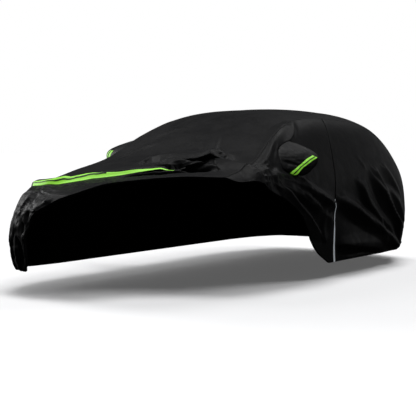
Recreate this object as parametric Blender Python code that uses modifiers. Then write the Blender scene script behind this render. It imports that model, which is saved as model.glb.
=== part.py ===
"""Fitted car cover, about 4.4 m long, drawn back over its bonnet from its left front corner.

The cover is a hollow of 2 mm cloth in four sewn panels with two mirror pockets, reflective tapes and a
door zip. Its front faces -Y and its left side is at +X. Sizes are in metres,
with heights above the ground, until the empty at the end puts the origin under the roof.

Places on the cover are given by two numbers:
- on a side, the station (a row of STATIONS, front to rear) and the girth (0 hem to 3 rail);
- on the top panel, the row (the stations, then three more down the rear face) and how far across
  (-1 the right rail, +1 the left rail).
Both kinds of surface are curves through the table's points. FOLDS are added to them.
"""

from collections import namedtuple

import bmesh
import bpy
import numpy as np

# Cloth and sewing
CLOTH = 0.002
SEAM_GAP = 0.0003
SEAM_TURN = 0.006  # how far a sewn edge is turned in
HEM_TURN = 0.010
NOTCH = 0.006  # turned-in edges stop this far from a corner
NOTCH_DEPTH = 0.4  # and this share of their depth is left there
TAPE = 0.0012
TAPE_GAP = 0.0004
STRIPE_GAP = 0.0003
TAPE_RUN = 0.040  # length along the bonnet of the tape's width, which also climbs the fold behind it
ZIP_HALF_WIDTH = 0.008
ZIP_LIFT = 0.0008
STATION_RUN = 0.46  # length of a station beside the zip

# Shape of the top panel across the cover, and of both ends
CROWN = 2.6
TURN_IN = 0.72
FACE_BULGE = 0.08
ROOF_UNDERSIDE = 1.4425

Station = namedtuple("Station", "name hem bulge belt rail ridge")
STATIONS = (
    Station("front middle", (0, -2.15, 0.185), (0, -2.22, 0.42), (0, -2.18, 0.66),
            (0, -2.10, 0.80), (0, -2.20, 0.75)),
    Station("front face", (0.56, -2.07, 0.185), (0.56, -2.14, 0.42), (0.56, -2.10, 0.66),
            (0.54, -1.99, 0.805), (0, -2.10, 0.80)),
    Station("front corner", (0.74, -1.92, 0.175), (0.755, -1.95, 0.42), (0.708, -1.87, 0.68),
            (0.632, -1.79, 0.86), (0, -1.93, 0.86)),
    Station("front wing", (0.85, -1.60, 0.15), (0.885, -1.62, 0.45), (0.845, -1.58, 0.73),
            (0.73, -1.52, 0.875), (0, -1.64, 0.905)),
    Station("front wheel", (0.88, -1.25, 0.14), (0.925, -1.25, 0.48), (0.885, -1.20, 0.80),
            (0.78, -1.16, 0.945), (0, -1.28, 0.975)),
    Station("screen foot", (0.885, -0.85, 0.14), (0.925, -0.85, 0.50), (0.895, -0.82, 0.88),
            (0.76, -0.78, 1.04), (0, -0.92, 1.05)),
    Station("mirror", (0.885, -0.50, 0.14), (0.925, -0.50, 0.50), (0.895, -0.48, 0.92),
            (0.70, -0.40, 1.235), (0, -0.50, 1.27)),
    Station("screen top", (0.885, -0.05, 0.14), (0.925, -0.05, 0.50), (0.895, -0.02, 0.95),
            (0.64, 0.02, 1.378), (0, -0.05, 1.435)),
    Station("mid door", (0.885, 0.45, 0.14), (0.925, 0.45, 0.50), (0.89, 0.45, 0.97),
            (0.635, 0.45, 1.398), (0, 0.42, 1.478)),
    Station("rear door", (0.885, 0.95, 0.14), (0.925, 0.95, 0.50), (0.885, 0.95, 0.97),
            (0.63, 0.95, 1.378), (0, 0.95, 1.476)),
    Station("rear wheel", (0.88, 1.38, 0.14), (0.915, 1.38, 0.52), (0.86, 1.38, 0.95),
            (0.62, 1.34, 1.338), (0, 1.38, 1.44)),
    Station("rear quarter", (0.81, 1.80, 0.14), (0.845, 1.80, 0.52), (0.80, 1.77, 0.91),
            (0.59, 1.66, 1.235), (0, 1.74, 1.33)),
    Station("rear corner", (0.70, 2.01, 0.14), (0.73, 2.04, 0.53), (0.68, 1.99, 0.84),
            (0.57, 1.87, 1.04), (0, 2.00, 1.09)),
    Station("rear face", (0.54, 2.07, 0.14), (0.56, 2.14, 0.54), (0.55, 2.10, 0.78),
            (0.54, 2.01, 0.93), (0, 2.13, 0.94)),
)
HEM, BULGE, BELT, RAIL = 0, 1, 2, 3
FRONT_FACE = 1
RIDGE_START = 1.6  # at the rail, the side leans towards the ridge of this station or a later one
LAST = len(STATIONS) - 1

# Lines over the cover: (across, row) on the top panel, (girth, station) on a side
TOP_FRONT_EDGE = (
    (0.0, 1.0), (0.06, 1.27), (0.12, 1.69), (0.22, 2.74), (0.35, 3.08), (0.50, 3.34), (0.68, 3.62),
    (0.94, 3.80), (1.0, 3.85),
)
RIGHT_FRONT_EDGE = (
    (0.0, 0.76), (0.5, 0.63), (1.0, 0.61), (1.4, 0.56), (1.75, 0.49), (2.2, 0.34), (2.75, 0.11),
    (3.0, 0.0),
)
LEFT_FRONT_EDGE = (
    (0.0, 7.60), (0.3, 7.17), (0.6, 6.90), (0.93, 6.64), (1.2, 6.38), (1.5, 5.92), (1.82, 5.14),
    (2.25, 4.58), (2.6, 4.08), (3.0, 3.85),
)
TAPE_LINE = (
    (-1.0, 1.50), (-0.77, 1.65), (-0.38, 2.18), (-0.21, 2.91), (0.0, 3.37), (0.17, 3.78),
    (0.35, 4.13), (0.7, 4.50), (1.0, 4.65),
)
UPRIGHT_SEAM = (
    (0.0, 7.78), (0.4, 7.69), (0.8, 7.64), (1.4, 7.61), (1.9, 7.66), (2.4, 7.76), (2.7, 7.90),
    (3.0, 8.10),
)
BONNET_LINE = ((-1.0, 4.4), (0.3, 5.0), (1.0, 5.7))
JOIN_ROW = 8.10
DOOR_CORNER = 2.6  # the girth where the drawn-back edge turns from the door panel's front to its foot
ZIP_TOP = 1.45

# How finely the panels are cut up
SEAM_LINES = 7
EDGE_LINES = 11
EDGE_ROWS = 4
TAPE_ROWS = 3
BONNET_ROWS = 9
SCREEN_ROWS = 10
ROOF_ROWS = 10
GIRTHS = (0, 0.3, 0.62, 0.95, 1.3, 1.65, 2.0, 2.18, 2.36, 2.55, 2.75, 3.0)
TAPE_LINES = (0, 11)  # the top panel's lines that the front tape lies between

# Folds: a crest line with a gentle slope on one side (start and end width) and a steep one on the other,
# whose width is the share given by steep. It stands on the crest's left when lean is 1, seen from
# outside and along the path. A soft of 1 rounds the crest, and 0 leaves it sharp.
Fold = namedtuple("Fold", "name height wide steep lean soft path")
FOLDS = (
    Fold("bonnet crest", 0.060, (0.18, 0.20), 0.55, -1, 0.6,
         ((-0.05, -1.06, 1.01), (0.03, -0.95, 1.04), (0.22, -0.90, 1.05), (0.45, -0.88, 1.05))),
    Fold("bonnet step", 0.045, (0.14, 0.14), 0.6, -1, 0.6,
         ((0.18, -1.14, 1.0), (0.40, -1.08, 1.0), (0.58, -1.10, 0.97))),
    Fold("bonnet drop", 0.045, (0.16, 0.12), 0.7, 1, 0.7,
         ((0.47, -0.84, 1.06), (0.62, -0.93, 1.02), (0.80, -0.88, 0.96))),
    Fold("knot", 0.028, (0.14, 0.10), 0.8, 1, 0.7,
         ((0.87, -0.93, 0.91), (0.89, -0.80, 0.93), (0.905, -0.62, 0.95))),
    Fold("pillar crease", 0.022, (0.10, 0.12), 0.7, 1, 0.6,
         ((0.66, -0.20, 1.30), (0.74, -0.46, 1.18), (0.86, -0.78, 0.97))),
    Fold("pull 1", 0.024, (0.13, 0.18), 0.5, 1, 0.4,
         ((0.91, -0.45, 0.88), (0.93, -0.16, 0.79), (0.93, 0.18, 0.69))),
    Fold("pull 2", 0.022, (0.11, 0.14), 0.6, 1, 0.4,
         ((0.91, -0.48, 0.82), (0.93, -0.18, 0.68), (0.93, 0.17, 0.54))),
    Fold("fan 1", 0.034, (0.17, 0.10), 0.55, 1, 0.3,
         ((0.93, 0.40, 0.70), (0.925, 0.66, 0.60), (0.92, 1.10, 0.40), (0.87, 1.55, 0.20))),
    Fold("fan 2", 0.038, (0.16, 0.09), 0.6, 1, 0.3,
         ((0.92, 0.78, 0.80), (0.92, 0.96, 0.62), (0.90, 1.35, 0.36), (0.85, 1.63, 0.19))),
    Fold("fan 3", 0.038, (0.14, 0.08), 0.6, 1, 0.3,
         ((0.91, 1.08, 0.90), (0.91, 1.28, 0.66), (0.88, 1.52, 0.42), (0.84, 1.70, 0.21))),
    Fold("fan 4", 0.030, (0.13, 0.08), 0.7, 1, 0.3,
         ((0.88, 1.32, 0.92), (0.87, 1.60, 0.66), (0.84, 1.76, 0.36))),
    Fold("hem sweep", 0.020, (0.10, 0.12), 0.8, 1, 1.0,
         ((0.91, 0.42, 0.30), (0.92, 0.80, 0.29), (0.90, 1.25, 0.24))),
    Fold("front drop 1", 0.022, (0.07, 0.06), 0.6, 1, 0.5,
         ((-0.42, -2.10, 0.76), (-0.46, -2.15, 0.50), (-0.50, -2.12, 0.22))),
    Fold("front drop 2", 0.018, (0.06, 0.06), 0.6, 1, 0.5,
         ((-0.62, -1.96, 0.76), (-0.64, -2.06, 0.50), (-0.62, -2.05, 0.20))),
    Fold("front crease", 0.018, (0.07, 0.05), 0.6, -1, 0.4,
         ((-0.20, -2.14, 0.74), (-0.32, -2.17, 0.62), (-0.38, -2.19, 0.46))),
    Fold("right sweep 1", 0.026, (0.12, 0.08), 0.6, -1, 0.4,
         ((-0.92, 0.40, 0.76), (-0.925, 0.75, 0.58), (-0.90, 1.30, 0.30))),
    Fold("right sweep 2", 0.028, (0.12, 0.08), 0.6, -1, 0.4,
         ((-0.91, 0.95, 0.88), (-0.91, 1.22, 0.62), (-0.86, 1.62, 0.24))),
    Fold("right drop 1", 0.022, (0.10, 0.12), 0.7, -1, 0.6,
         ((-0.91, -0.95, 0.78), (-0.92, -1.05, 0.50), (-0.89, -1.10, 0.20))),
    Fold("right drop 2", 0.020, (0.10, 0.12), 0.7, -1, 0.6,
         ((-0.92, -0.30, 0.72), (-0.93, -0.22, 0.48), (-0.90, -0.18, 0.20))),
    Fold("tail drop", 0.018, (0.10, 0.12), 0.7, 1, 0.6,
         ((0.20, 2.18, 0.78), (0.24, 2.20, 0.50), (0.26, 2.14, 0.20))),
)

# The cloth stands up behind the front tape, over this much of its line, and less towards both ends
BUNCH = Fold("bunch", (0.022, 0.048, 0.042, 0.030), (0.34, 0.30), 0.14, -1, 1.0, None)
BUNCH_ACROSS = (-1.0, -0.8, -0.6, -0.45, -0.3, -0.2, -0.1, 0.0, 0.12, 0.25)

# Mirror pockets: the stations and girths of a side that each one covers, how far its tip stands out, back
# and up from them, and the shares of its length that its tape lies between. hand is 1 on the left.
Pocket = namedtuple("Pocket", "name hand stations girths out back rise tape")
POCKETS = (
    Pocket("left", 1, (5.80, 6.47), (2.12, 2.65), 0.24, 0.055, -0.06, (0.50, 0.66)),
    Pocket("right", -1, (5.72, 6.35), (2.05, 2.72), 0.36, -0.02, -0.06, (0.60, 0.76)),
)
POCKET_ROUND = 0.75
POCKET_PEAK = (0.50, 0.45)  # place of the outermost point, from -1 to 1 along the cover and up
POCKET_LEAN = 0.05  # how much further back the top of the tip is than its middle
POCKET_LINES = 8  # about how many cells a pocket has along the cover and up

BLACK = (0.012, 0.012, 0.013, 1)
BRIGHT = (0.35, 0.95, 0.03, 1)
GREY = (0.06, 0.10, 0.08, 1)
ZIP_GREY = (0.30, 0.33, 0.37, 1)


# ---------------------------------------------------------------------- curves and surfaces


def hermite(start, end, leave, arrive, u):
    """A cubic from start to end, with the given end slopes."""
    return (
        (2 * u**3 - 3 * u**2 + 1) * start
        + (u**3 - 2 * u**2 + u) * leave
        + (3 * u**2 - 2 * u**3) * end
        + (u**3 - u**2) * arrive
    )


def through(points, at):
    """A smooth curve through points, (points, 3) or (samples, points, 3), with at counting the points.

    The slope at a point is the mean of those of its two chords, weighted by the other chord's length.
    """
    points = np.broadcast_to(points, (len(at),) + np.shape(points)[-2:])
    chord = np.diff(points, axis=1)
    length = np.maximum(np.linalg.norm(chord, axis=2, keepdims=True), 1e-6)
    slope = chord / length
    inner = slope[:, :-1] * length[:, 1:] + slope[:, 1:] * length[:, :-1]
    inner /= length[:, :-1] + length[:, 1:]
    first = 1.5 * slope[:, :1] - 0.5 * inner[:, :1]
    last = 1.5 * slope[:, -1:] - 0.5 * inner[:, -1:]
    slopes = np.concatenate([first, inner, last], axis=1)
    index = np.clip(at.astype(int), 0, points.shape[1] - 2)
    row = np.arange(len(at))
    reach = length[row, index]
    leave = reach * slopes[row, index]
    arrive = reach * slopes[row, index + 1]
    return hermite(points[row, index], points[row, index + 1], leave, arrive, (at - index)[:, None])


def read_line(table, at):
    """The value of a line's table at each place, on a curve that doesn't overshoot its points."""
    place, value = np.array(table, float).T
    at = np.clip(at, place[0], place[-1])
    step = np.diff(place)
    slope = np.diff(value) / step
    product = slope[:-1] * slope[1:]
    total = np.where(product > 0, slope[:-1] + slope[1:], 1)
    inner = np.where(product > 0, 2 * product / total, 0)
    slopes = np.concatenate([slope[:1], inner, slope[-1:]])
    index = np.clip(np.searchsorted(place, at) - 1, 0, len(step) - 1)
    reach = step[index]
    u = (at - place[index]) / reach
    return hermite(value[index], value[index + 1], reach * slopes[index], reach * slopes[index + 1], u)


def column(name):
    return np.array([getattr(station, name) for station in STATIONS], float)


def crowned(rail, ridge, across):
    """A point of the top panel between its ridge and its rail."""
    across = np.asarray(across)
    x = rail[..., 0] * across
    y = ridge[..., 1] + (rail[..., 1] - ridge[..., 1]) * across**2
    z = ridge[..., 2] + (rail[..., 2] - ridge[..., 2]) * np.abs(across) ** CROWN
    return np.stack([x, y, z], axis=-1)


def left_side(station, girth):
    """The left side without its folds: curves along the stations, joined by a curve up the girth."""
    station, girth = np.broadcast_arrays(np.asarray(station, float), np.asarray(girth, float))
    at = station.ravel()
    lines = [through(column(name), at) for name in ("hem", "bulge", "belt", "rail")]
    ridge = through(column("ridge"), np.maximum(at, RIDGE_START))
    lines.append(crowned(lines[RAIL], ridge, TURN_IN))
    return through(np.stack(lines, axis=1), girth.ravel()).reshape(station.shape + (3,))


def top(row, across):
    """The top panel without its folds. Past the last station it runs down the rear face to the hem."""
    row, across = np.broadcast_arrays(np.asarray(row, float), np.asarray(across, float))
    at = row.ravel()
    over = through(column("rail"), np.minimum(at, LAST))
    down = left_side(np.full(len(at), LAST), RAIL - np.maximum(at - LAST, 0))
    rail = np.where((at <= LAST)[:, None], over, down)
    rear = STATIONS[LAST]
    face = np.array([(0, y + FACE_BULGE, z) for _, y, z in (rear.belt, rear.bulge, rear.hem)])
    ridge = through(np.concatenate([column("ridge"), face]), at)
    return crowned(rail, ridge, across.ravel()).reshape(row.shape + (3,))


def unit(vectors):
    return vectors / np.maximum(np.linalg.norm(vectors, axis=-1, keepdims=True), 1e-9)


def outward(surface, first, second, sign):
    """The surface's normal, from steps of a thousandth along both of its numbers."""
    step = 1e-3
    along = surface(first + step, second) - surface(first - step, second)
    up = surface(first, second + step) - surface(first, second - step)
    return unit(sign * np.cross(along, up))


def side_patch(station, girth, hand):
    """Points and normals of a side; hand is 1 for the left and -1 for the right."""
    flip = np.array([hand, 1, 1])
    return left_side(station, girth) * flip, outward(left_side, station, girth, 1) * flip


def top_patch(row, across):
    return top(row, across), outward(top, row, across, -1)


def tape_top(across):
    """Row of the front tape's upper edge, which is TAPE_RUN from the lower one, square to it."""
    low = read_line(TAPE_LINE, across)
    step = 0.02
    ahead = np.clip(across + step, -1, 1)
    behind = np.clip(across - step, -1, 1)
    along = unit(top(read_line(TAPE_LINE, ahead), ahead) - top(read_line(TAPE_LINE, behind), behind))
    per_row = top(low + 0.5, across) - top(low - 0.5, across)
    square = per_row - along * np.sum(per_row * along, axis=1, keepdims=True)
    return low + TAPE_RUN / np.linalg.norm(square, axis=1)


def bunch_path():
    across = np.array(BUNCH_ACROSS)
    return top(tape_top(across), across)


def fold_height(points, normals):
    """How far the folds lift each point along its normal."""
    flat = points.reshape(-1, 3)
    out = normals.reshape(-1, 3)
    height = np.zeros(len(flat))
    for fold in FOLDS + (BUNCH._replace(path=bunch_path()),):
        path = np.array(fold.path, float)
        crest = through(path, np.linspace(0, len(path) - 1, 4 * len(path)))
        nearest = np.full(len(flat), np.inf)
        along = np.zeros(len(flat))
        on_left = np.zeros(len(flat))
        for index in range(len(crest) - 1):
            run = crest[index + 1] - crest[index]
            share = np.clip((flat - crest[index]) @ run / (run @ run), 0, 1)
            away = flat - crest[index] - share[:, None] * run
            distance = np.linalg.norm(away, axis=1)
            closer = distance < nearest
            nearest = np.where(closer, distance, nearest)
            along = np.where(closer, (index + share) / (len(crest) - 1), along)
            on_left = np.where(closer, np.sum(np.cross(out, run) * away, axis=1), on_left)
        width = fold.wide[0] + (fold.wide[1] - fold.wide[0]) * along
        width = np.where(on_left * fold.lean > 0, width * fold.steep, width)
        reach = np.clip(nearest / width, 0, 1)
        heights = np.atleast_1d(fold.height)
        peak = np.interp(along * (len(heights) - 1), np.arange(len(heights)), heights)
        height += peak * (1 - reach) ** 2 * (1 + 2 * fold.soft * reach)
    return height.reshape(points.shape[:-1])


def folded(patch):
    points, normals = patch
    return points + normals * fold_height(points, normals)[..., None]


# ---------------------------------------------------------------------- places of the panels' points


def spaced_front():
    """Across of the top panel's front edge: even along the front seam, then along the drawn-back edge."""
    across = np.linspace(0, 1, 201)
    edge = top(read_line(TOP_FRONT_EDGE, across), across)
    run = np.concatenate([[0], np.cumsum(np.linalg.norm(np.diff(edge, axis=0), axis=1))])
    drawn_back = np.interp(np.linspace(0, run[-1], EDGE_LINES + 1), run, across)
    return np.concatenate([np.linspace(-1, 0, SEAM_LINES + 1)[:-1], drawn_back])


def top_places():
    """Row and across of the top panel's points, for lines of points down it from the front edge."""
    front = spaced_front()
    straight = np.linspace(-1, 1, len(front))
    low = 0.65 * front + 0.35 * straight
    foot = 0.2 * front + 0.8 * straight
    marks = [
        (read_line(TOP_FRONT_EDGE, front), front, EDGE_ROWS),
        (read_line(TAPE_LINE, low), low, TAPE_ROWS),
        (tape_top(low), low, BONNET_ROWS),
        (read_line(BONNET_LINE, foot), foot, SCREEN_ROWS),
        (np.full(len(front), JOIN_ROW), straight, ROOF_ROWS),
        (np.full(len(front), float(LAST)), straight, 0),
    ]
    rows, acrosses = [], []
    for here, beyond in zip(marks[:-1], marks[1:]):
        for share in np.arange(here[2]) / here[2]:
            rows.append(here[0] + (beyond[0] - here[0]) * share)
            acrosses.append(here[1] + (beyond[1] - here[1]) * share)
    for girth in reversed(GIRTHS):
        rows.append(np.full(len(front), LAST + RAIL - girth))
        acrosses.append(straight)
    return np.array(rows), np.array(acrosses)


def split(values, times):
    """Each step of values cut into times equal steps."""
    index = np.arange((len(values) - 1) * times + 1) / times
    return np.interp(index, np.arange(len(values)), values)


def right_places(rows):
    """Station and girth of the right side's points, one line of points for each station."""
    girth = np.array(GIRTHS, float)
    foot = EDGE_ROWS + TAPE_ROWS + BONNET_ROWS
    wing = rows[: foot + 1]
    doors = rows[foot : foot + SCREEN_ROWS + 1]
    quarter = rows[foot + SCREEN_ROWS : -len(GIRTHS) + 1]
    front = np.linspace(0, 1, SEAM_LINES + 1)
    stations = np.concatenate([front, wing[1:], split(doors, 2)[1:], quarter[1:]])
    shift = read_line(RIGHT_FRONT_EDGE, girth) - RIGHT_FRONT_EDGE[-1][1]
    fade = np.clip(1 - stations / 3.5, 0, 1)
    stations = stations[:, None] + shift[None, :] * fade[:, None]
    return stations, np.broadcast_to(girth, stations.shape)


def between(foot, head, fore, aft, along, up):
    """Points between four sides: foot and head run along, fore and aft run up, and corners are shared."""
    u, v = along[:, None, None], up[None, :, None]
    foot, head, fore, aft = foot[:, None], head[:, None], fore[None], aft[None]
    low = (1 - u) * foot[0] + u * foot[-1]
    high = (1 - u) * head[0] + u * head[-1]
    return (1 - v) * (foot - low) + v * (head - high) + (1 - u) * fore + u * aft


def door_places(rows, times):
    """Station and girth of the door panel's points.

    Its head is the rail and its rear the upright seam. The drawn-back edge is its front down to
    DOOR_CORNER, then its foot, which ends on the hem.
    """
    girth = split(np.array(GIRTHS, float), times)
    head = np.stack([rows, np.full(len(rows), float(RAIL))], axis=1)
    aft = np.stack([read_line(UPRIGHT_SEAM, girth), girth], axis=1)
    fore_girth = np.linspace(DOOR_CORNER, RAIL, len(girth))
    fore = np.stack([read_line(LEFT_FRONT_EDGE, fore_girth), fore_girth], axis=1)
    share = (rows - rows[0]) / (rows[-1] - rows[0])
    foot_station = fore[0, 0] + (aft[0, 0] - fore[0, 0]) * share
    edge_girth = np.linspace(RAIL, HEM, 61)
    foot_girth = np.interp(foot_station, read_line(LEFT_FRONT_EDGE, edge_girth), edge_girth)
    foot = np.stack([foot_station, foot_girth], axis=1)
    places = between(foot, head, fore, aft, share, (fore_girth - DOOR_CORNER) / (RAIL - DOOR_CORNER))
    strip = places[-1] - np.array([ZIP_HALF_WIDTH / STATION_RUN, 0])
    places = np.insert(places, -1, strip, axis=0)
    return places[..., 0], places[..., 1]


def quarter_places(rows, times):
    """Station and girth of the left rear panel's points, with a narrow strip beside the zip."""
    girth = split(np.array(GIRTHS, float), times)
    share = (split(rows, times) - rows[0]) / (rows[-1] - rows[0])
    start = read_line(UPRIGHT_SEAM, girth)
    stations = start[None, :] + (LAST - start)[None, :] * share[:, None]
    stations = np.insert(stations, 1, stations[0] + ZIP_HALF_WIDTH / STATION_RUN, axis=0)
    return stations, np.broadcast_to(girth, stations.shape)


# ---------------------------------------------------------------------- seams

Seam = namedtuple("Seam", "at middle out cross")


def seam_along(at, points, first_normals, second_normals, towards):
    """A seam through points. Its out is midway between both cloths, and cross points to towards."""
    out = unit(first_normals + second_normals)
    middle = points + out * fold_height(points, out)[..., None]
    tangent = np.gradient(middle, axis=0)
    cross = unit(np.cross(tangent, out))
    if np.sum(cross * (towards - middle)) < 0:
        cross = -cross
    return Seam(at, middle, out, cross)


def read_at(line, at, places):
    """A line's points at the given places, between those that its own points have."""
    return np.stack([np.interp(at, places, axis) for axis in line.T], axis=1)


def seam_edges(seam, at, side):
    """The cloth's edge along a seam and the edge of what it turns in, on the side given by 1 or -1."""
    edge = seam.middle + seam.cross * side * SEAM_GAP / 2
    turned = edge - seam.out * SEAM_TURN
    return [read_at(line, at, seam.at) for line in (edge, turned)]


def rail_seam(stations, hand):
    """The seam of a side with the top panel, along the rail and down the rear face."""
    girth = np.minimum(RAIL, RAIL + LAST - stations)
    station = np.minimum(stations, LAST)
    points, side_normals = side_patch(station, girth, hand)
    on_front = stations < FRONT_FACE
    row = np.where(on_front, FRONT_FACE, stations)
    across = np.where(on_front, hand * stations, hand)
    top_points, top_normals = top_patch(row, across.astype(float))
    inside = top(np.maximum(row, FRONT_FACE + 0.2), across * 0.8)
    points = np.where(on_front[:, None], top_points, points)
    return seam_along(stations, points, side_normals, top_normals, inside)


def upright_seam():
    girth = np.array(GIRTHS, float)[::-1]
    station = read_line(UPRIGHT_SEAM, girth)
    points, normals = side_patch(station, girth, 1)
    return seam_along(RAIL - girth, points, normals, normals, points + np.array([0, 1.0, 0]))


# ---------------------------------------------------------------------- meshes


class Panel:
    """A grid of points with some cells left out, and edges that are turned in."""

    def __init__(self, points, normals, rising=True):
        self.rising = rising
        self.points = points.copy()
        self.normals = normals
        self.keep = np.ones((points.shape[0] - 1, points.shape[1] - 1), bool)
        self.turned = []

    def sew(self, where, edges):
        """Put a border on its seam and turn it in; where picks the border's points from the grid."""
        edge, turned = edges
        self.points[where] = edge
        self.turned.append((where, notched(edge, turned)))

    def hem(self, where):
        """Turn a free border in, square to the cloth."""
        edge = self.points[where]
        self.turned.append((where, notched(edge, edge - self.normals[where] * HEM_TURN)))

    def object(self, name, material):
        triangles, number = grid_triangles(self.keep, self.rising)
        points = [self.points.reshape(-1, 3)]
        faces = [triangles]
        total = len(points[0])
        for where, turned in self.turned:
            edge = number[where]
            new = np.arange(len(turned)) + total
            total += len(turned)
            points.append(turned)
            start = np.arange(len(new) - 1) == 0
            near = np.where(start, new[:-1], new[1:])
            far = np.where(start, edge[1:], edge[:-1])
            faces.append(np.stack([edge[:-1], edge[1:], near], axis=1))
            faces.append(np.stack([far, new[1:], new[:-1]], axis=1))
        points, faces = np.concatenate(points), np.concatenate(faces)
        reference = self.points[1, 1], self.normals[1, 1]
        return sheet_object(name, points, faces, CLOTH, -1, reference, material)


def grid_triangles(keep, rising):
    """Two triangles for each kept cell of a grid, cut along one diagonal, and the points' numbers."""
    number = np.arange((keep.shape[0] + 1) * (keep.shape[1] + 1)).reshape(keep.shape[0] + 1, -1)
    a, b, c, d = number[:-1, :-1], number[1:, :-1], number[1:, 1:], number[:-1, 1:]
    cells = [a, b, c, a, c, d] if rising else [a, b, d, b, c, d]
    return np.stack(cells, axis=-1)[keep].reshape(-1, 3), number


def notched(edge, turned):
    """A turned-in edge whose ends are moved along it, away from the corners, and made shallower."""
    turned = turned.copy()
    for end, beside in ((0, 1), (-1, -2)):
        along = unit(edge[beside] - edge[end])
        turned[end] = edge[end] + along * NOTCH + (turned[end] - edge[end]) * NOTCH_DEPTH
    return turned


def sheet_object(name, points, faces, thickness, offset, reference, material):
    """An open sheet with Solidify; its faces point the way of the reference point's normal."""
    mesh = bpy.data.meshes.new(name)
    mesh.from_pydata(points.tolist(), [], faces.tolist())
    bm = bmesh.new()
    bm.from_mesh(mesh)
    loose = [vertex for vertex in bm.verts if not vertex.link_faces]
    bmesh.ops.delete(bm, geom=loose, context="VERTS")
    bmesh.ops.remove_doubles(bm, verts=bm.verts, dist=1e-6)
    bmesh.ops.recalc_face_normals(bm, faces=bm.faces)
    centres = np.array([face.calc_center_median() for face in bm.faces])
    bm.faces.ensure_lookup_table()
    nearest = bm.faces[int(np.argmin(np.linalg.norm(centres - reference[0], axis=1)))]
    if np.dot(np.array(nearest.normal), reference[1]) < 0:
        bmesh.ops.reverse_faces(bm, faces=bm.faces)
    bm.to_mesh(mesh)
    bm.free()
    mesh.shade_smooth()
    mesh.materials.append(material)
    piece = bpy.data.objects.new(name, mesh)
    solid = piece.modifiers.new("Cloth", "SOLIDIFY")
    solid.thickness = thickness
    solid.offset = offset
    solid.use_quality_normals = True
    return piece


def strip_object(name, points, normals, start, thickness, material):
    """A tape over the cloth, from start to start plus thickness above the given points."""
    base = points + normals * start
    faces, number = grid_triangles(np.ones((base.shape[0] - 1, base.shape[1] - 1), bool), True)
    middle = tuple(size // 2 for size in number.shape)
    reference = base[middle], normals[middle]
    return sheet_object(name, base.reshape(-1, 3), faces, thickness, 1, reference, material)


def grid_normals(points, like):
    """Normals of a folded grid, on the same side as the unfolded ones."""
    normals = unit(np.cross(np.gradient(points, axis=0), np.gradient(points, axis=1)))
    same = np.sign(np.sum(normals * like, axis=-1, keepdims=True))
    return normals * np.where(same == 0, 1, same)


def material(name, colour, roughness):
    made = bpy.data.materials.new(name)
    made.use_nodes = True
    made.diffuse_color = colour
    shader = made.node_tree.nodes["Principled BSDF"]
    shader.inputs["Base Color"].default_value = colour
    shader.inputs["Roughness"].default_value = roughness
    shader.inputs["Metallic"].default_value = 0
    return made


# ---------------------------------------------------------------------- mirror pockets


def nearest_place(stations, girths, station, girth):
    return np.unravel_index(np.argmin((stations - station) ** 2 + (girths - girth) ** 2), stations.shape)


def read_grid(grid, at, up):
    """A grid's values at fractions of its lines."""
    left, lower = np.floor(at).astype(int), np.floor(up).astype(int)
    a, b = at - left, up - lower
    near = grid[left, lower] * (1 - a) + grid[left + 1, lower] * a
    far = grid[left, lower + 1] * (1 - a) + grid[left + 1, lower + 1] * a
    return near * (1 - b) + far * b


def pocket_patch(stations, girths, pocket):
    """The cells of a side under its pocket, and the rounded places of their outline's points."""
    first, low = nearest_place(stations, girths, pocket.stations[0], pocket.girths[0])
    last, high = nearest_place(stations, girths, pocket.stations[1], pocket.girths[1])
    p = np.linspace(-1, 1, last - first + 1)[:, None]
    q = np.linspace(-1, 1, high - low + 1)[None, :]
    at = (first + last) / 2 + (last - first) / 2 * p * np.sqrt(1 - POCKET_ROUND * q**2 / 2)
    up = (low + high) / 2 + (high - low) / 2 * q * np.sqrt(1 - POCKET_ROUND * p**2 / 2)
    patch = side_patch(read_grid(stations, at, up), read_grid(girths, at, up), pocket.hand)
    return (first, last, low, high), folded(patch), patch[1]


def ring(shape):
    """Grid places round the border of a grid, back to the first."""
    last, high = shape[0] - 1, shape[1] - 1
    along = [(i, 0) for i in range(last)] + [(last, j) for j in range(high)]
    back = [(i, high) for i in range(last, 0, -1)] + [(0, j) for j in range(high, 0, -1)]
    places = np.array(along + back + [(0, 0)])
    return places[:, 0], places[:, 1]


def cut_pocket_hole(panel, stations, girths, pocket):
    """Open the side under its pocket, and give the outline that the pocket is sewn to."""
    (first, last, low, high), patch, normals = pocket_patch(stations, girths, pocket)
    border = ring(patch.shape[:2])
    outline = patch[border]
    out = normals[border]
    inward = unit(outline[:-1].mean(axis=0) - outline)
    inward = unit(inward - out * np.sum(inward * out, axis=1, keepdims=True))
    edge = outline - inward * SEAM_GAP / 2
    where = (border[0] + first, border[1] + low)
    panel.keep[first:last, low:high] = False
    panel.points[where] = edge
    panel.turned.append((where, edge - out * SEAM_TURN))
    pocket_edge = outline + inward * SEAM_GAP / 2
    return patch.shape[:2], pocket_edge, pocket_edge - out * SEAM_TURN


def read_side(line, share):
    return read_at(line, share, np.linspace(0, 1, len(line)))


def patch_between(border, shape, along, up):
    """Points inside a border, which is read at the given shares of its sides' lengths."""
    last, high = shape[0] - 1, shape[1] - 1
    foot = border[: last + 1]
    aft = border[last : last + high + 1]
    head = border[last + high : 2 * last + high + 1][::-1]
    fore = border[2 * last + high :][::-1]
    return between(
        read_side(foot, along), read_side(head, along), read_side(fore, up), read_side(aft, up), along, up
    )


def pocket_shares(cells, lines):
    """Shares of a pocket's length or height: its outline's points, finer ones, and a tape's edges."""
    even = np.linspace(0, 1, cells * max(1, round(POCKET_LINES / cells)) + 1)
    keep = [share for share in even if all(abs(share - line) > 0.03 for line in lines)]
    fixed = np.linspace(0, 1, cells + 1)
    return np.unique(np.round(np.concatenate([keep, fixed, lines]), 6))


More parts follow.
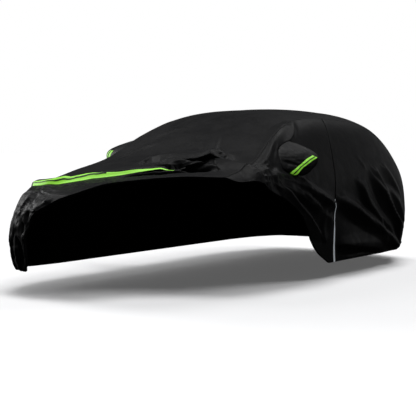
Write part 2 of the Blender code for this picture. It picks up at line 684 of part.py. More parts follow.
def swell(place, peak, before, after):
    """Rise from 0 at -1 to 1 at the peak and back to 0 at 1, rounded more with a larger power."""
    share = np.where(place < peak, (place + 1) / (peak + 1), (1 - place) / (1 - peak))
    return 1 - (1 - np.clip(share, 0, 1)) ** np.where(place < peak, before, after)


def make_pocket(pocket, outline, cloth, bright, grey):
    """A mirror pocket: its foot is on the outline, and it swells out to its tip and is closed there."""
    shape, edge, turned = outline
    hand = pocket.hand
    tape = np.linspace(*pocket.tape, 4)
    along = pocket_shares(shape[0] - 1, tape)
    up = pocket_shares(shape[1] - 1, ())
    base = patch_between(edge, shape, along, up)
    p = (2 * along - 1)[:, None]
    q = (2 * up - 1)[None, :]
    length = swell(p, POCKET_PEAK[0], 1.7, 3.0)
    height = swell(q, POCKET_PEAK[1], 1.6, 2.6)
    back = pocket.back + POCKET_LEAN * q
    tip = np.stack(np.broadcast_arrays(hand * pocket.out, back, pocket.rise), axis=-1)
    points = base + (length * height)[..., None] * tip
    normals = grid_normals(points, np.broadcast_to(np.array([hand, 0, 0.2]), points.shape))
    panel = Panel(points, normals)
    border = ring(points.shape[:2])
    turned_grid = patch_between(turned, shape, along, up)
    panel.turned.append((border, turned_grid[border]))
    pieces = [panel.object("mirror_pocket_" + pocket.name, cloth)]
    first = int(np.argmin(np.abs(along - tape[0])))
    rows = slice(1, len(up) - 2)
    above = 2 * TAPE_GAP + TAPE + STRIPE_GAP
    band = points[first : first + 4, rows], normals[first : first + 4, rows]
    stripe = points[first + 1 : first + 3, rows], normals[first + 1 : first + 3, rows]
    pieces.append(strip_object("mirror_tape_" + pocket.name, *band, TAPE_GAP, TAPE, bright))
    pieces.append(strip_object("mirror_tape_stripe_" + pocket.name, *stripe, above, TAPE, grey))
    return pieces


# ---------------------------------------------------------------------- the cover


def make_top(places, left, right, cloth, bright, grey):
    """The bonnet, screen, roof and tailgate, in one panel, with the front tape on it."""
    rows, across = places
    patch = top_patch(rows, across)
    panel = Panel(folded(patch), patch[1])
    count = rows.shape[0]
    panel.sew((np.arange(count), np.zeros(count, int)), seam_edges(right, rows[:, 0], 1))
    panel.sew((np.arange(count), np.full(count, -1)), seam_edges(left, rows[:, -1], 1))
    front = np.arange(SEAM_LINES, -1, -1)
    panel.sew((np.zeros(len(front), int), front), seam_edges(right, -across[0, front], 1))
    edge = np.arange(SEAM_LINES, rows.shape[1])
    panel.hem((np.zeros(len(edge), int), edge))
    hem = np.arange(rows.shape[1])
    panel.hem((np.full(len(hem), -1), hem))
    first, last = TAPE_LINES
    lines = slice(first, last + 1)
    low = EDGE_ROWS
    normals = grid_normals(panel.points, panel.normals)
    band = panel.points[low : low + TAPE_ROWS + 1, lines], normals[low : low + TAPE_ROWS + 1, lines]
    stripe = panel.points[low + 1 : low + 3, lines], normals[low + 1 : low + 3, lines]
    return [
        panel.object("top_panel", cloth),
        strip_object("front_tape", *band, TAPE_GAP, TAPE, bright),
        strip_object("front_tape_stripe", *stripe, 2 * TAPE_GAP + TAPE + STRIPE_GAP, TAPE, grey),
    ]


def make_side(name, stations, girths, hand, rear, cloth, pocket=None, front=None, rail=None):
    """A side panel. front and rear are its seams there, or None for a free edge."""
    patch = side_patch(stations, girths, hand)
    panel = Panel(folded(patch), patch[1], rising=False)
    count, high = stations.shape
    up = np.arange(high)
    outline = cut_pocket_hole(panel, stations, girths, pocket) if pocket else None
    top_border = (np.arange(count), np.full(count, -1))
    panel.sew(top_border, seam_edges(rail, stations[:, -1], -1))
    rear_border = (np.full(high, -1), up)
    if rear is rail:
        panel.sew(rear_border, seam_edges(rail, LAST + RAIL - girths[-1], -1))
    else:
        panel.sew(rear_border, seam_edges(rear, RAIL - girths[-1], -1))
    front_border = (np.zeros(high, int), up)
    foot = (np.arange(count), np.zeros(count, int))
    if front:
        panel.sew(front_border, seam_edges(front, RAIL - girths[0], 1))
        panel.hem(foot)
    elif hand > 0:
        columns = np.concatenate([front_border[0], foot[0][1:]])
        panel.hem((columns, np.concatenate([up[::-1], foot[1][1:]])))
    else:
        panel.hem(front_border)
        panel.hem(foot)
    return panel, panel.object(name, cloth), outline


def make_zip(door, quarter, seam, colour):
    """The zip along the upright seam, from the hem up, over the narrow strips of both panels."""
    girth = np.array(GIRTHS, float)
    reach = girth <= ZIP_TOP
    before, after = door.points[-2, ::2][reach], quarter.points[1, ::2][reach]
    middle, _ = seam_edges(seam, RAIL - girth[reach], 0)
    points = np.stack([before, middle, after])
    normals = np.broadcast_to(door.normals[-2, ::2][reach], points.shape)
    return strip_object("door_zip", points, normals, ZIP_LIFT, TAPE, colour)


def main():
    for old in list(bpy.data.objects):
        bpy.data.objects.remove(old)
    cloth = material("black polyester", BLACK, 0.5)
    bright = material("yellow-green tape", BRIGHT, 0.5)
    grey = material("grey reflective stripe", GREY, 0.4)
    zip_grey = material("grey zip", ZIP_GREY, 0.4)

    places = top_places()
    rows = places[0]
    right_stations, right_girths = right_places(rows[:, 0])
    right_seam = rail_seam(np.concatenate([np.linspace(0, 1, SEAM_LINES + 1)[:-1], rows[:, 0]]), -1)
    left_seam = rail_seam(rows[:, -1], 1)
    seam = upright_seam()

    join = EDGE_ROWS + TAPE_ROWS + BONNET_ROWS + SCREEN_ROWS
    end = join + ROOF_ROWS

    pieces = make_top(places, left_seam, right_seam, cloth, bright, grey)
    _, right, right_hole = make_side(
        "right_side_panel", right_stations, right_girths, -1, right_seam, cloth,
        pocket=POCKETS[1], rail=right_seam)
    door, door_piece, left_hole = make_side(
        "left_door_panel", *door_places(rows[: join + 1, -1], 2), 1, seam, cloth,
        pocket=POCKETS[0], rail=left_seam)
    quarter, quarter_piece, _ = make_side(
        "left_rear_panel", *quarter_places(rows[join : end + 1, -1], 2), 1, left_seam, cloth,
        front=seam, rail=left_seam)
    pieces += [right, door_piece, quarter_piece, make_zip(door, quarter, seam, zip_grey)]
    pieces += make_pocket(POCKETS[0], left_hole, cloth, bright, grey)
    pieces += make_pocket(POCKETS[1], right_hole, cloth, bright, grey)

    collection = bpy.data.collections.new("car_cover")
    bpy.context.scene.collection.children.link(collection)
    origin = bpy.data.objects.new("under_the_roof", None)
    origin.location = (0, 0, -ROOF_UNDERSIDE)
    collection.objects.link(origin)
    for piece in pieces:
        collection.objects.link(piece)
        piece.parent = origin


main()
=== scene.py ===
"""Looks for the fitted car cover: fine cloth on the frame's solids, its tapes, zip, studio and camera.

Places on the cover are given by two numbers, as in the frame's own source:
- on a side, the station (a row of STATIONS, front to rear) and the girth (0 hem to 3 rail);
- on the top panel, the row (the stations, then three more down the rear face) and how far across
  (-1 the right rail, +1 the left rail).
Heights are above the ground while the cloth is worked out, and GROUND is taken off when a mesh is made.
"""

import functools
from collections import namedtuple

import bpy
import numpy as np
from mathutils import Matrix


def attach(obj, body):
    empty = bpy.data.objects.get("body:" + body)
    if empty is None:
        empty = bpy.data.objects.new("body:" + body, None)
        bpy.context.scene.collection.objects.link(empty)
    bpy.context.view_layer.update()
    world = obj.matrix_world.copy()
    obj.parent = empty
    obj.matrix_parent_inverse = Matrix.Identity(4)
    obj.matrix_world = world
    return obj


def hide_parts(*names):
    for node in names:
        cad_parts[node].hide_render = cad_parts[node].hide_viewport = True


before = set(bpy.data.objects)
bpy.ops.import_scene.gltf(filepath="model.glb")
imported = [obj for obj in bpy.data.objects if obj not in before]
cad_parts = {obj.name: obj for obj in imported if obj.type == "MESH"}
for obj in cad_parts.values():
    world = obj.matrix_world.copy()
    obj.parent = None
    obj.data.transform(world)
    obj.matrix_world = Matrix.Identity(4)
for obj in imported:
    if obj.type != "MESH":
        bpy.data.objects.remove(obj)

bl_info = {
    "name": "Fitted car cover",
    "version": (1, 0, 0),
    "blender": (4, 5, 0),
    "location": "3D View > Sidebar > Car cover",
    "description": "Builds a draped car cover with mirror pockets, bright tapes and a side zip",
    "category": "Object",
}

GROUND = -1.4425  # height of the ground in the frame, whose origin is under the roof

# Cloth and sewing
SEAM_GAP = 0.0003
SEAM_ROUND = 0.0045  # radius that a sewn edge rolls in by
SEAM_TURN = 0.014
SEAM = (SEAM_ROUND, SEAM_TURN, SEAM_GAP)
FREE_EDGE = (0.0025, 0.020)  # the hem's and the drawn-back edge's roll and turn
GROOVE = 0.0120  # gap along the upright seam, whose edges lie apart on a binding as a dark groove
GROOVE_ROUND = 0.0020
GROOVE_TURN = 0.0050
BINDING = (0.016, 0.012)  # half width of the upright seam's binding, and how far behind the cloth it is
SEWING = ("sewing_off", "sewing_run")  # each point's distance from its seam, and the run along that
TAPE_LIFT = 0.0006
STRIPE_LIFT = 0.0016  # over the cloth, besides the bright tape's thickness
FRONT_TAPE_END = 86  # last line of the top panel's fine grid that the tape reaches
FRONT_TAPE_SHOWN = ((0, 30, 48, 60, 86), (1, 1, 0.62, 0.50, 0.20))  # share of its width at such lines
FRONT_STRIPE = (0.52, 0.68)  # shares of the tape's width that its grey stripe lies between
FRONT_STRIPE_END = 46
FRONT_BAND_LINES = 9
POCKET_BAND_LINES = (13, 4)  # of the tape and of its stripe
TAPE_RUN = 0.040  # length along the bonnet of the tape's width, which also climbs the fold behind it
ZIP_HALF_WIDTH = 0.015
ZIP_LINES = (-1, -0.9, -0.55, -0.2, 0, 0.2, 0.55, 0.9, 1.0)
ZIP_TOP = 1.45
ZIP_TAPER = (1.2, 0.35)  # the zip's width is the first less the share of its run, at least the second
TOOTH_PITCH = 0.004
TOOTH = (0.0036, 0.0022, 0.0014)  # across, along and out
TOOTH_STEP = 0.35  # share of its width that a tooth stands off the line
SQUARE = ((-1, -1), (1, -1), (1, 1), (-1, 1))

# Woven finishes
WEAVE_DIP = 0.25  # how far a thread sinks under the next, as a share of its height
FINE_WRINKLES = 0.12  # height of the fine wrinkles, as a share of the coarse ones'
STITCH_SHARE = 0.7
EDGE_STITCHES = {"First": 0.003, "Second": 0.003, "Length": 0.004, "Width": 0.0007}
PALE = 1.3

# Shape of the top panel across the cover, and of both ends
CROWN = 2.6
TURN_IN = 0.72
FACE_BULGE = 0.08
STATION_EASE = 0.3  # reach of the change to the next cloth's normals at a seam, in stations and girths
SEAM_EASE = 0.12  # and across the top panel or a pocket
BORDER_EASE = 0.5  # girths over which the side's front end leaves the top panel's border

Station = namedtuple("Station", "name hem bulge belt rail ridge")
STATIONS = (
    Station("front middle", (0, -2.15, 0.185), (0, -2.22, 0.42), (0, -2.18, 0.66),
            (0, -2.10, 0.80), (0, -2.20, 0.75)),
    Station("front face", (0.56, -2.07, 0.185), (0.56, -2.14, 0.42), (0.56, -2.10, 0.66),
            (0.54, -1.99, 0.805), (0, -2.10, 0.80)),
    Station("front corner", (0.74, -1.92, 0.175), (0.755, -1.95, 0.42), (0.708, -1.87, 0.68),
            (0.632, -1.79, 0.86), (0, -1.93, 0.86)),
    Station("front wing", (0.85, -1.60, 0.15), (0.885, -1.62, 0.45), (0.845, -1.58, 0.73),
            (0.73, -1.52, 0.875), (0, -1.64, 0.905)),
    Station("front wheel", (0.88, -1.25, 0.14), (0.925, -1.25, 0.48), (0.885, -1.20, 0.80),
            (0.78, -1.16, 0.945), (0, -1.28, 0.975)),
    Station("screen foot", (0.885, -0.85, 0.14), (0.925, -0.85, 0.50), (0.895, -0.82, 0.88),
            (0.76, -0.78, 1.04), (0, -0.92, 1.05)),
    Station("mirror", (0.885, -0.50, 0.14), (0.925, -0.50, 0.50), (0.895, -0.48, 0.92),
            (0.70, -0.40, 1.235), (0, -0.50, 1.27)),
    Station("screen top", (0.885, -0.05, 0.14), (0.925, -0.05, 0.50), (0.895, -0.02, 0.95),
            (0.64, 0.02, 1.378), (0, -0.05, 1.435)),
    Station("mid door", (0.885, 0.45, 0.14), (0.925, 0.45, 0.50), (0.89, 0.45, 0.97),
            (0.635, 0.45, 1.398), (0, 0.42, 1.478)),
    Station("rear door", (0.885, 0.95, 0.14), (0.925, 0.95, 0.50), (0.885, 0.95, 0.97),
            (0.63, 0.95, 1.378), (0, 0.95, 1.476)),
    Station("rear wheel", (0.88, 1.38, 0.14), (0.915, 1.38, 0.52), (0.86, 1.38, 0.95),
            (0.62, 1.34, 1.338), (0, 1.38, 1.44)),
    Station("rear quarter", (0.81, 1.80, 0.14), (0.845, 1.80, 0.52), (0.80, 1.77, 0.91),
            (0.59, 1.66, 1.235), (0, 1.74, 1.33)),
    Station("rear corner", (0.70, 2.01, 0.14), (0.73, 2.04, 0.53), (0.68, 1.99, 0.84),
            (0.57, 1.87, 1.04), (0, 2.00, 1.09)),
    Station("rear face", (0.54, 2.07, 0.14), (0.56, 2.14, 0.54), (0.55, 2.10, 0.78),
            (0.54, 2.01, 0.93), (0, 2.13, 0.94)),
)
HEM, RAIL = 0, 3  # girths
FRONT_FACE = 1
RIDGE_START = 1.6  # at the rail, the side leans towards the ridge of this station or a later one
LAST = len(STATIONS) - 1

# Lines over the cover: (across, row) on the top panel, (girth, station) on a side
TOP_FRONT_EDGE = (
    (0.0, 1.0), (0.06, 1.27), (0.12, 1.69), (0.22, 2.74), (0.35, 3.08), (0.50, 3.34), (0.68, 3.62),
    (0.94, 3.80), (1.0, 3.85),
)
RIGHT_FRONT_EDGE = (
    (0.0, 0.76), (0.5, 0.63), (1.0, 0.61), (1.4, 0.56), (1.75, 0.49), (2.2, 0.34), (2.75, 0.11),
    (3.0, 0.0),
)
LEFT_FRONT_EDGE = (
    (0.0, 7.60), (0.3, 7.17), (0.6, 6.90), (0.93, 6.64), (1.2, 6.38), (1.5, 5.92), (1.82, 5.14),
    (2.25, 4.58), (2.6, 4.08), (3.0, 3.85),
)
TAPE_LINE = (
    (-1.0, 1.50), (-0.77, 1.65), (-0.38, 2.18), (-0.21, 2.91), (0.0, 3.37), (0.17, 3.78),
    (0.35, 4.13), (0.7, 4.50), (1.0, 4.65),
)
UPRIGHT_SEAM = (
    (0.0, 7.78), (0.4, 7.69), (0.8, 7.64), (1.4, 7.61), (1.9, 7.66), (2.4, 7.76), (2.7, 7.90),
    (3.0, 8.10),
)
BONNET_LINE = ((-1.0, 4.4), (0.3, 5.0), (1.0, 5.7))
JOIN_ROW = 8.10
DOOR_CORNER = 2.6  # the girth where the drawn-back edge turns from the door panel's front to its foot

SPACING_KEPT = (0.65, 0.2)  # how much of the front edge's spacing the lines of tape and bonnet keep
FRONT_END = 3.5  # the station behind which the right side's lines no longer follow its front edge

# The cells of the frame's solids, each of which is cut FINE times along both its sides
FINE = 7
SEAM_LINES = 7
EDGE_LINES = 11
EDGE_ROWS = 4
TAPE_ROWS = 3
BONNET_ROWS = 9
SCREEN_ROWS = 10
ROOF_ROWS = 10
FOOT_LINE = (EDGE_ROWS + TAPE_ROWS + BONNET_ROWS) * FINE
JOIN_LINE = FOOT_LINE + SCREEN_ROWS * FINE
ROOF_LINE = JOIN_LINE + ROOF_ROWS * FINE
GIRTHS = (0, 0.3, 0.62, 0.95, 1.3, 1.65, 2.0, 2.18, 2.36, 2.55, 2.75, 3.0)

# Folds: a crest line with a gentle slope on one side and a steep one on the other, whose width is the
# share given by steep. It stands on the crest's left when lean is 1, seen from outside and along the
# path. Height and width may change along the path. A soft of 1 rounds the crest, 0 leaves it sharp,
# and STRAIGHT makes both slopes flat down to a sharp foot. A negative height is a trough. A push also
# moves the cloth sideways, by so many times its rise, so that a crest hangs over its foot.
Fold = namedtuple("Fold", "name height wide steep lean soft path push", defaults=((0, 0, 0),))
STRAIGHT = -1
FOLDS = (
    Fold("bonnet crest", 0.060, (0.18, 0.20), 0.55, -1, 0.6,
         ((-0.05, -1.06, 1.01), (0.03, -0.95, 1.04), (0.22, -0.90, 1.05), (0.45, -0.88, 1.05))),
    Fold("bonnet step", 0.045, (0.14, 0.14), 0.6, -1, 0.6,
         ((0.18, -1.14, 1.0), (0.40, -1.08, 1.0), (0.58, -1.10, 0.97))),
    Fold("bonnet drop", 0.045, (0.16, 0.12), 0.7, 1, 0.7,
         ((0.47, -0.84, 1.06), (0.62, -0.93, 1.02), (0.80, -0.88, 0.96))),
    Fold("knot", 0.028, (0.14, 0.10), 0.8, 1, 0.7,
         ((0.87, -0.93, 0.91), (0.89, -0.80, 0.93), (0.905, -0.62, 0.95))),
    Fold("pillar crease", 0.022, (0.10, 0.12), 0.7, 1, 0.6,
         ((0.66, -0.20, 1.30), (0.74, -0.46, 1.18), (0.86, -0.78, 0.97))),
    Fold("pull 1", 0.024, (0.13, 0.18), 0.5, 1, 0.4,
         ((0.91, -0.45, 0.88), (0.93, -0.16, 0.79), (0.93, 0.18, 0.69))),
    Fold("pull 2", 0.022, (0.11, 0.14), 0.6, 1, 0.4,
         ((0.91, -0.48, 0.82), (0.93, -0.18, 0.68), (0.93, 0.17, 0.54))),
    Fold("fan 1", 0.034, (0.17, 0.10), 0.55, 1, 0.3,
         ((0.93, 0.40, 0.70), (0.925, 0.66, 0.60), (0.92, 1.10, 0.40), (0.87, 1.55, 0.20))),
    Fold("fan 2", 0.038, (0.16, 0.09), 0.6, 1, 0.3,
         ((0.92, 0.78, 0.80), (0.92, 0.96, 0.62), (0.90, 1.35, 0.36), (0.85, 1.63, 0.19))),
    Fold("fan 3", 0.038, (0.14, 0.08), 0.6, 1, 0.3,
         ((0.91, 1.08, 0.90), (0.91, 1.28, 0.66), (0.88, 1.52, 0.42), (0.84, 1.70, 0.21))),
    Fold("fan 4", 0.030, (0.13, 0.08), 0.7, 1, 0.3,
         ((0.88, 1.32, 0.92), (0.87, 1.60, 0.66), (0.84, 1.76, 0.36))),
    Fold("hem sweep", 0.020, (0.10, 0.12), 0.8, 1, 1.0,
         ((0.91, 0.42, 0.30), (0.92, 0.80, 0.29), (0.90, 1.25, 0.24))),
    Fold("front drop 1", 0.022, (0.07, 0.06), 0.6, 1, 0.5,
         ((-0.42, -2.10, 0.76), (-0.46, -2.15, 0.50), (-0.50, -2.12, 0.22))),
    Fold("front drop 2", 0.018, (0.06, 0.06), 0.6, 1, 0.5,
         ((-0.62, -1.96, 0.76), (-0.64, -2.06, 0.50), (-0.62, -2.05, 0.20))),
    Fold("front crease", 0.018, (0.07, 0.05), 0.6, -1, 0.4,
         ((-0.20, -2.14, 0.74), (-0.32, -2.17, 0.62), (-0.38, -2.19, 0.46))),
    Fold("right sweep 1", 0.026, (0.12, 0.08), 0.6, -1, 0.4,
         ((-0.92, 0.40, 0.76), (-0.925, 0.75, 0.58), (-0.90, 1.30, 0.30))),
    Fold("right sweep 2", 0.028, (0.12, 0.08), 0.6, -1, 0.4,
         ((-0.91, 0.95, 0.88), (-0.91, 1.22, 0.62), (-0.86, 1.62, 0.24))),
    Fold("right drop 1", 0.022, (0.10, 0.12), 0.7, -1, 0.6,
         ((-0.91, -0.95, 0.78), (-0.92, -1.05, 0.50), (-0.89, -1.10, 0.20))),
    Fold("right drop 2", 0.020, (0.10, 0.12), 0.7, -1, 0.6,
         ((-0.92, -0.30, 0.72), (-0.93, -0.22, 0.48), (-0.90, -0.18, 0.20))),
    Fold("tail drop", 0.018, (0.10, 0.12), 0.7, 1, 0.6,
         ((0.20, 2.18, 0.78), (0.24, 2.20, 0.50), (0.26, 2.14, 0.20))),
)

# Creases that only the fine cloth has
CREASES = (
    Fold("fan wedge 1", (0, 0.022, 0.034, 0.040, 0.040, 0.038, 0.034, 0.022, 0),
         (0.04, 0.09, 0.12, 0.13, 0.13, 0.12, 0.10, 0.07, 0.03), 0.5, 1, STRAIGHT,
         ((0.93, 0.28, 0.72), (0.94, 0.37, 0.68), (0.95, 0.48, 0.65), (0.95, 0.62, 0.60),
          (0.95, 0.78, 0.53), (0.95, 0.94, 0.46), (0.95, 1.11, 0.38), (0.93, 1.29, 0.28),
          (0.89, 1.57, 0.16))),
    Fold("fan wedge 2", (0, 0.020, 0.034, 0.042, 0.044, 0.042, 0.038, 0.026, 0),
         (0.01, 0.05, 0.08, 0.09, 0.09, 0.085, 0.07, 0.06, 0.03), 0.5, 1, STRAIGHT,
         ((0.91, 0.62, 0.88), (0.93, 0.71, 0.82), (0.95, 0.78, 0.74), (0.95, 0.84, 0.66),
          (0.94, 0.95, 0.57), (0.94, 1.08, 0.48), (0.95, 1.17, 0.40), (0.94, 1.37, 0.31),
          (0.90, 1.59, 0.22))),
    Fold("fan wedge 3", (0, 0.022, 0.042, 0.052, 0.056, 0.056, 0.044, 0),
         (0.01, 0.07, 0.12, 0.14, 0.15, 0.16, 0.14, 0.05), 0.3, 1, STRAIGHT,
         ((0.89, 0.95, 0.95), (0.91, 0.98, 0.88), (0.93, 1.07, 0.81), (0.94, 1.16, 0.74),
          (0.94, 1.26, 0.63), (0.93, 1.39, 0.51), (0.90, 1.58, 0.41), (0.84, 1.78, 0.32))),
    Fold("fan wedge 4", (0, 0.022, 0.036, 0.040, 0.038, 0.030),
         (0.01, 0.07, 0.11, 0.13, 0.13, 0.12), 0.6, 1, STRAIGHT,
         ((0.93, 1.12, 0.83), (0.93, 1.24, 0.77), (0.91, 1.41, 0.69), (0.90, 1.51, 0.62),
          (0.89, 1.60, 0.53), (0.88, 1.68, 0.42))),
    Fold("soft rear", (0, 0.008, 0.008, 0), (0.06, 0.06), 0.3, -1, 0.5,
         ((0.86, 0.74, 1.07), (0.88, 0.80, 1.02), (0.89, 0.85, 0.97), (0.90, 0.88, 0.93))),
    Fold("hem shelf", (0, 0.036, 0.044, 0.042, 0.030, 0), (0.20, 0.19), 0.2, -1, STRAIGHT,
         ((0.92, 0.32, 0.31), (0.92, 0.50, 0.28), (0.92, 0.70, 0.25), (0.91, 0.90, 0.23),
          (0.91, 1.08, 0.20), (0.90, 1.25, 0.17))),
    Fold("hem line", (0, -0.008, -0.008, 0), (0.03, 0.03), 0.8, -1, 0.6,
         ((0.91, 0.40, 0.20), (0.90, 0.62, 0.18), (0.90, 0.86, 0.18), (0.89, 1.06, 0.17))),
    Fold("door wedge", (0, 0.016, 0.024, 0.030, 0.038, 0.044, 0.044, 0.036, 0.010),
         (0.04, 0.06, 0.07, 0.09, 0.12, 0.13, 0.13, 0.11, 0.06), 0.5, 1, STRAIGHT,
         ((0.90, -0.64, 0.965), (0.905, -0.52, 0.945), (0.91, -0.42, 0.93), (0.92, -0.31, 0.91),
          (0.92, -0.24, 0.85), (0.94, -0.13, 0.80), (0.94, 0.01, 0.74), (0.94, 0.14, 0.69),
          (0.935, 0.24, 0.65))),
    Fold("door line 1", (0.006, 0.020, 0.034, 0.038, 0.036, 0.030, 0.010),
         (0.05, 0.08, 0.11, 0.13, 0.14, 0.13, 0.08), 0.25, 1, STRAIGHT,
         ((0.90, -0.68, 0.95), (0.91, -0.60, 0.85), (0.93, -0.50, 0.78), (0.93, -0.39, 0.69),
          (0.93, -0.24, 0.60), (0.92, -0.08, 0.49), (0.92, 0.02, 0.42))),
    Fold("door line 2", (0, 0.018, 0.024, 0.022, 0), (0.05, 0.08, 0.09, 0.09, 0.05), 0.3, 1, STRAIGHT,
         ((0.94, -0.40, 0.84), (0.94, -0.36, 0.81), (0.94, -0.24, 0.75), (0.95, -0.09, 0.68),
          (0.95, 0.05, 0.61))),
    Fold("door line 3", (0, 0.012, 0), (0.04, 0.04), 0.8, 1, 0.3,
         ((0.91, -0.77, 0.92), (0.91, -0.67, 0.85), (0.92, -0.59, 0.82))),
    Fold("door blob", (0.010, 0.020, 0.022, 0.014), (0.09, 0.09), 0.6, -1, 0.5,
         ((0.94, 0.10, 0.62), (0.94, 0.05, 0.57), (0.93, 0.04, 0.48), (0.92, 0.10, 0.37))),
    Fold("pillar ridge", (0, 0.026, 0.036, 0.034, 0.014), (0.12, 0.12), 0.5, 1, 0.2,
         ((0.62, 0.02, 1.375), (0.68, -0.07, 1.335), (0.72, -0.14, 1.29), (0.755, -0.20, 1.245),
          (0.78, -0.29, 1.20))),
    Fold("pillar line", (0, 0.012, 0.014, 0.012, 0), (0.04, 0.04), 0.8, 1, 0.3,
         ((0.73, -0.40, 1.24), (0.77, -0.52, 1.17), (0.80, -0.63, 1.09), (0.81, -0.74, 1.03),
          (0.84, -0.85, 1.00))),
    Fold("pillar trough", (0, -0.020, -0.018, 0), (0.03, 0.035), 1, 1, 0.6,
         ((0.76, -0.43, 1.21), (0.78, -0.49, 1.17), (0.80, -0.54, 1.12), (0.84, -0.62, 1.04))),
    Fold("screen sweep 1", (0.004, 0.014, 0.018, 0.018, 0.012, 0), (0.10, 0.12), 0.2, -1, 0.2,
         ((-0.60, -1.02, 1.00), (-0.57, -0.93, 1.02), (-0.53, -0.84, 1.06), (-0.48, -0.77, 1.09),
          (-0.40, -0.70, 1.13), (-0.29, -0.66, 1.17))),
    Fold("screen sweep 3", (0, 0.008, 0.008, 0), (0.10, 0.12), 0.35, -1, 0.5,
         ((-0.46, -0.58, 1.19), (-0.36, -0.50, 1.25), (-0.25, -0.43, 1.29), (-0.10, -0.34, 1.34))),
    Fold("screen sweep 2", (0, 0.008, 0), (0.05, 0.06), 0.6, 1, 0.8,
         ((-0.44, -1.14, 0.99), (-0.28, -1.00, 1.02), (0.02, -1.05, 1.04))),
    Fold("screen fold", (0.024, 0.024, 0.014, 0.008, 0), (0.10, 0.12), 0.22, -1, 0.3,
         ((0.46, -0.93, 1.07), (0.44, -0.87, 1.11), (0.33, -0.69, 1.15), (0.29, -0.61, 1.20),
          (0.23, -0.50, 1.26))),
    Fold("screen ripple", (0, 0.008, 0.010), (0.06, 0.06), 0.4, -1, 0.5,
         ((0.17, -0.66, 1.18), (0.24, -0.77, 1.12), (0.34, -0.93, 1.08))),
    Fold("bonnet wedge", (0, -0.024, 0), (0.035, 0.04), 0.8, 1, 0.5,
         ((0.80, -0.95, 1.0), (0.85, -0.94, 0.97), (0.89, -0.91, 0.94))),
    Fold("knot line", (0, 0.014, 0.016, 0), (0.03, 0.03), 0.8, 1, 0.3,
         ((0.84, -0.85, 1.0), (0.86, -0.82, 0.97), (0.89, -0.77, 0.96), (0.89, -0.67, 0.95))),
    Fold("bonnet lip 1", (0, 0.012, 0.012, 0.012, 0.006), (0.12, 0.10), 0.3, -1, 1,
         ((0.02, -1.06, 1.03), (0.14, -1.00, 1.05), (0.26, -0.97, 1.06), (0.39, -0.94, 1.07),
          (0.50, -0.93, 1.08)), (0, -5.5, 0)),
    Fold("bonnet gap 1", (0, -0.050, -0.052, -0.045, -0.020), (0.06, 0.06), 0.8, -1, 1,
         ((0.14, -1.10, 1.01), (0.26, -1.05, 1.03), (0.38, -1.03, 1.04), (0.49, -1.02, 1.05),
          (0.54, -1.02, 1.04)), (0, -1.0, 0)),
    Fold("bonnet lip 2", (0, 0.010, 0.012, 0.012, 0), (0.07, 0.07), 0.4, -1, 1,
         ((0.24, -1.16, 1.00), (0.37, -1.13, 1.01), (0.47, -1.11, 1.01), (0.55, -1.06, 1.02),
          (0.63, -1.06, 1.01)), (0, -4.0, 0)),
    Fold("bonnet gap 2", (-0.020, -0.035, -0.050, -0.052, -0.050, -0.035, 0), (0.05, 0.05), 0.8, -1, 1,
         ((0.24, -1.26, 0.98), (0.32, -1.21, 0.99), (0.41, -1.18, 0.99), (0.49, -1.19, 0.98),
          (0.56, -1.17, 0.99), (0.61, -1.12, 1.00), (0.67, -1.12, 0.97)), (0, -1.0, 0)),
    Fold("bonnet flap", (0, 0.012, 0.014, 0.012, 0), (0.10, 0.10), 0.3, -1, 1,
         ((0.49, -0.90, 1.09), (0.50, -0.93, 1.08), (0.58, -1.01, 1.02), (0.67, -1.08, 0.98),
          (0.76, -1.10, 0.96)), (-2.5, -1.5, 0)),
    Fold("tape lip", (0, 0.006, 0.010, 0.010, 0.008), (0.08, 0.08), 0.3, -1, 1,
         ((0.02, -1.49, 0.93), (0.10, -1.40, 0.95), (0.18, -1.32, 0.97), (0.25, -1.24, 0.98),
          (0.32, -1.18, 0.99)), (3.0, -2.5, 0)),
    Fold("tape gap", (0, -0.036, -0.052, -0.058, -0.058, -0.050, -0.030), (0.075, 0.085), 0.4, 1, 1,
         ((0.00, -1.58, 0.92), (0.07, -1.51, 0.93), (0.15, -1.44, 0.94), (0.24, -1.37, 0.95),
          (0.32, -1.30, 0.96), (0.39, -1.24, 0.97), (0.46, -1.20, 0.98)), (0.3, -0.7, 0)),
    Fold("bonnet gap 0", (0, -0.030, -0.044, -0.046, -0.040), (0.06, 0.06), 0.5, 1, 1,
         ((0.10, -1.27, 1.00), (0.15, -1.24, 1.01), (0.23, -1.20, 1.01), (0.28, -1.15, 1.01),
          (0.37, -1.09, 1.03)), (0.2, -0.8, 0)),
    Fold("corner line", (0, -0.022, -0.022, 0), (0.03, 0.04), 0.7, 1, 0.4,
         ((-0.48, -2.12, 0.70), (-0.43, -2.17, 0.63), (-0.39, -2.20, 0.56), (-0.36, -2.22, 0.46))),
    Fold("corner trough 1", (0, -0.030, -0.036, -0.028), (0.06, 0.06), 0.7, 1, 0.5,
         ((-0.48, -2.18, 0.54), (-0.54, -2.15, 0.47), (-0.59, -2.12, 0.39), (-0.58, -2.10, 0.30))),
    Fold("corner trough 2", (0, -0.026, -0.020, 0), (0.035, 0.035), 0.8, 1, 0.4,
         ((-0.40, -2.02, 0.80), (-0.37, -2.10, 0.78), (-0.37, -2.12, 0.75), (-0.30, -2.16, 0.71))),
    Fold("corner trough 3", (0, -0.032, -0.028, 0), (0.04, 0.04), 0.8, 1, 0.4,
         ((-0.33, -2.18, 0.68), (-0.34, -2.19, 0.63), (-0.33, -2.21, 0.58), (-0.34, -2.21, 0.51))),
    Fold("corner trough 4", (0, -0.030, -0.030, 0), (0.05, 0.05), 0.8, 1, 0.4,
         ((-0.46, -2.17, 0.46), (-0.44, -2.19, 0.42), (-0.42, -2.18, 0.33), (-0.50, -2.14, 0.25))),
    Fold("corner fold 1", (0, -0.020, 0), (0.03, 0.03), 0.7, 1, 0.3,
         ((-0.42, -2.00, 0.82), (-0.33, -2.05, 0.81), (-0.18, -2.10, 0.79))),
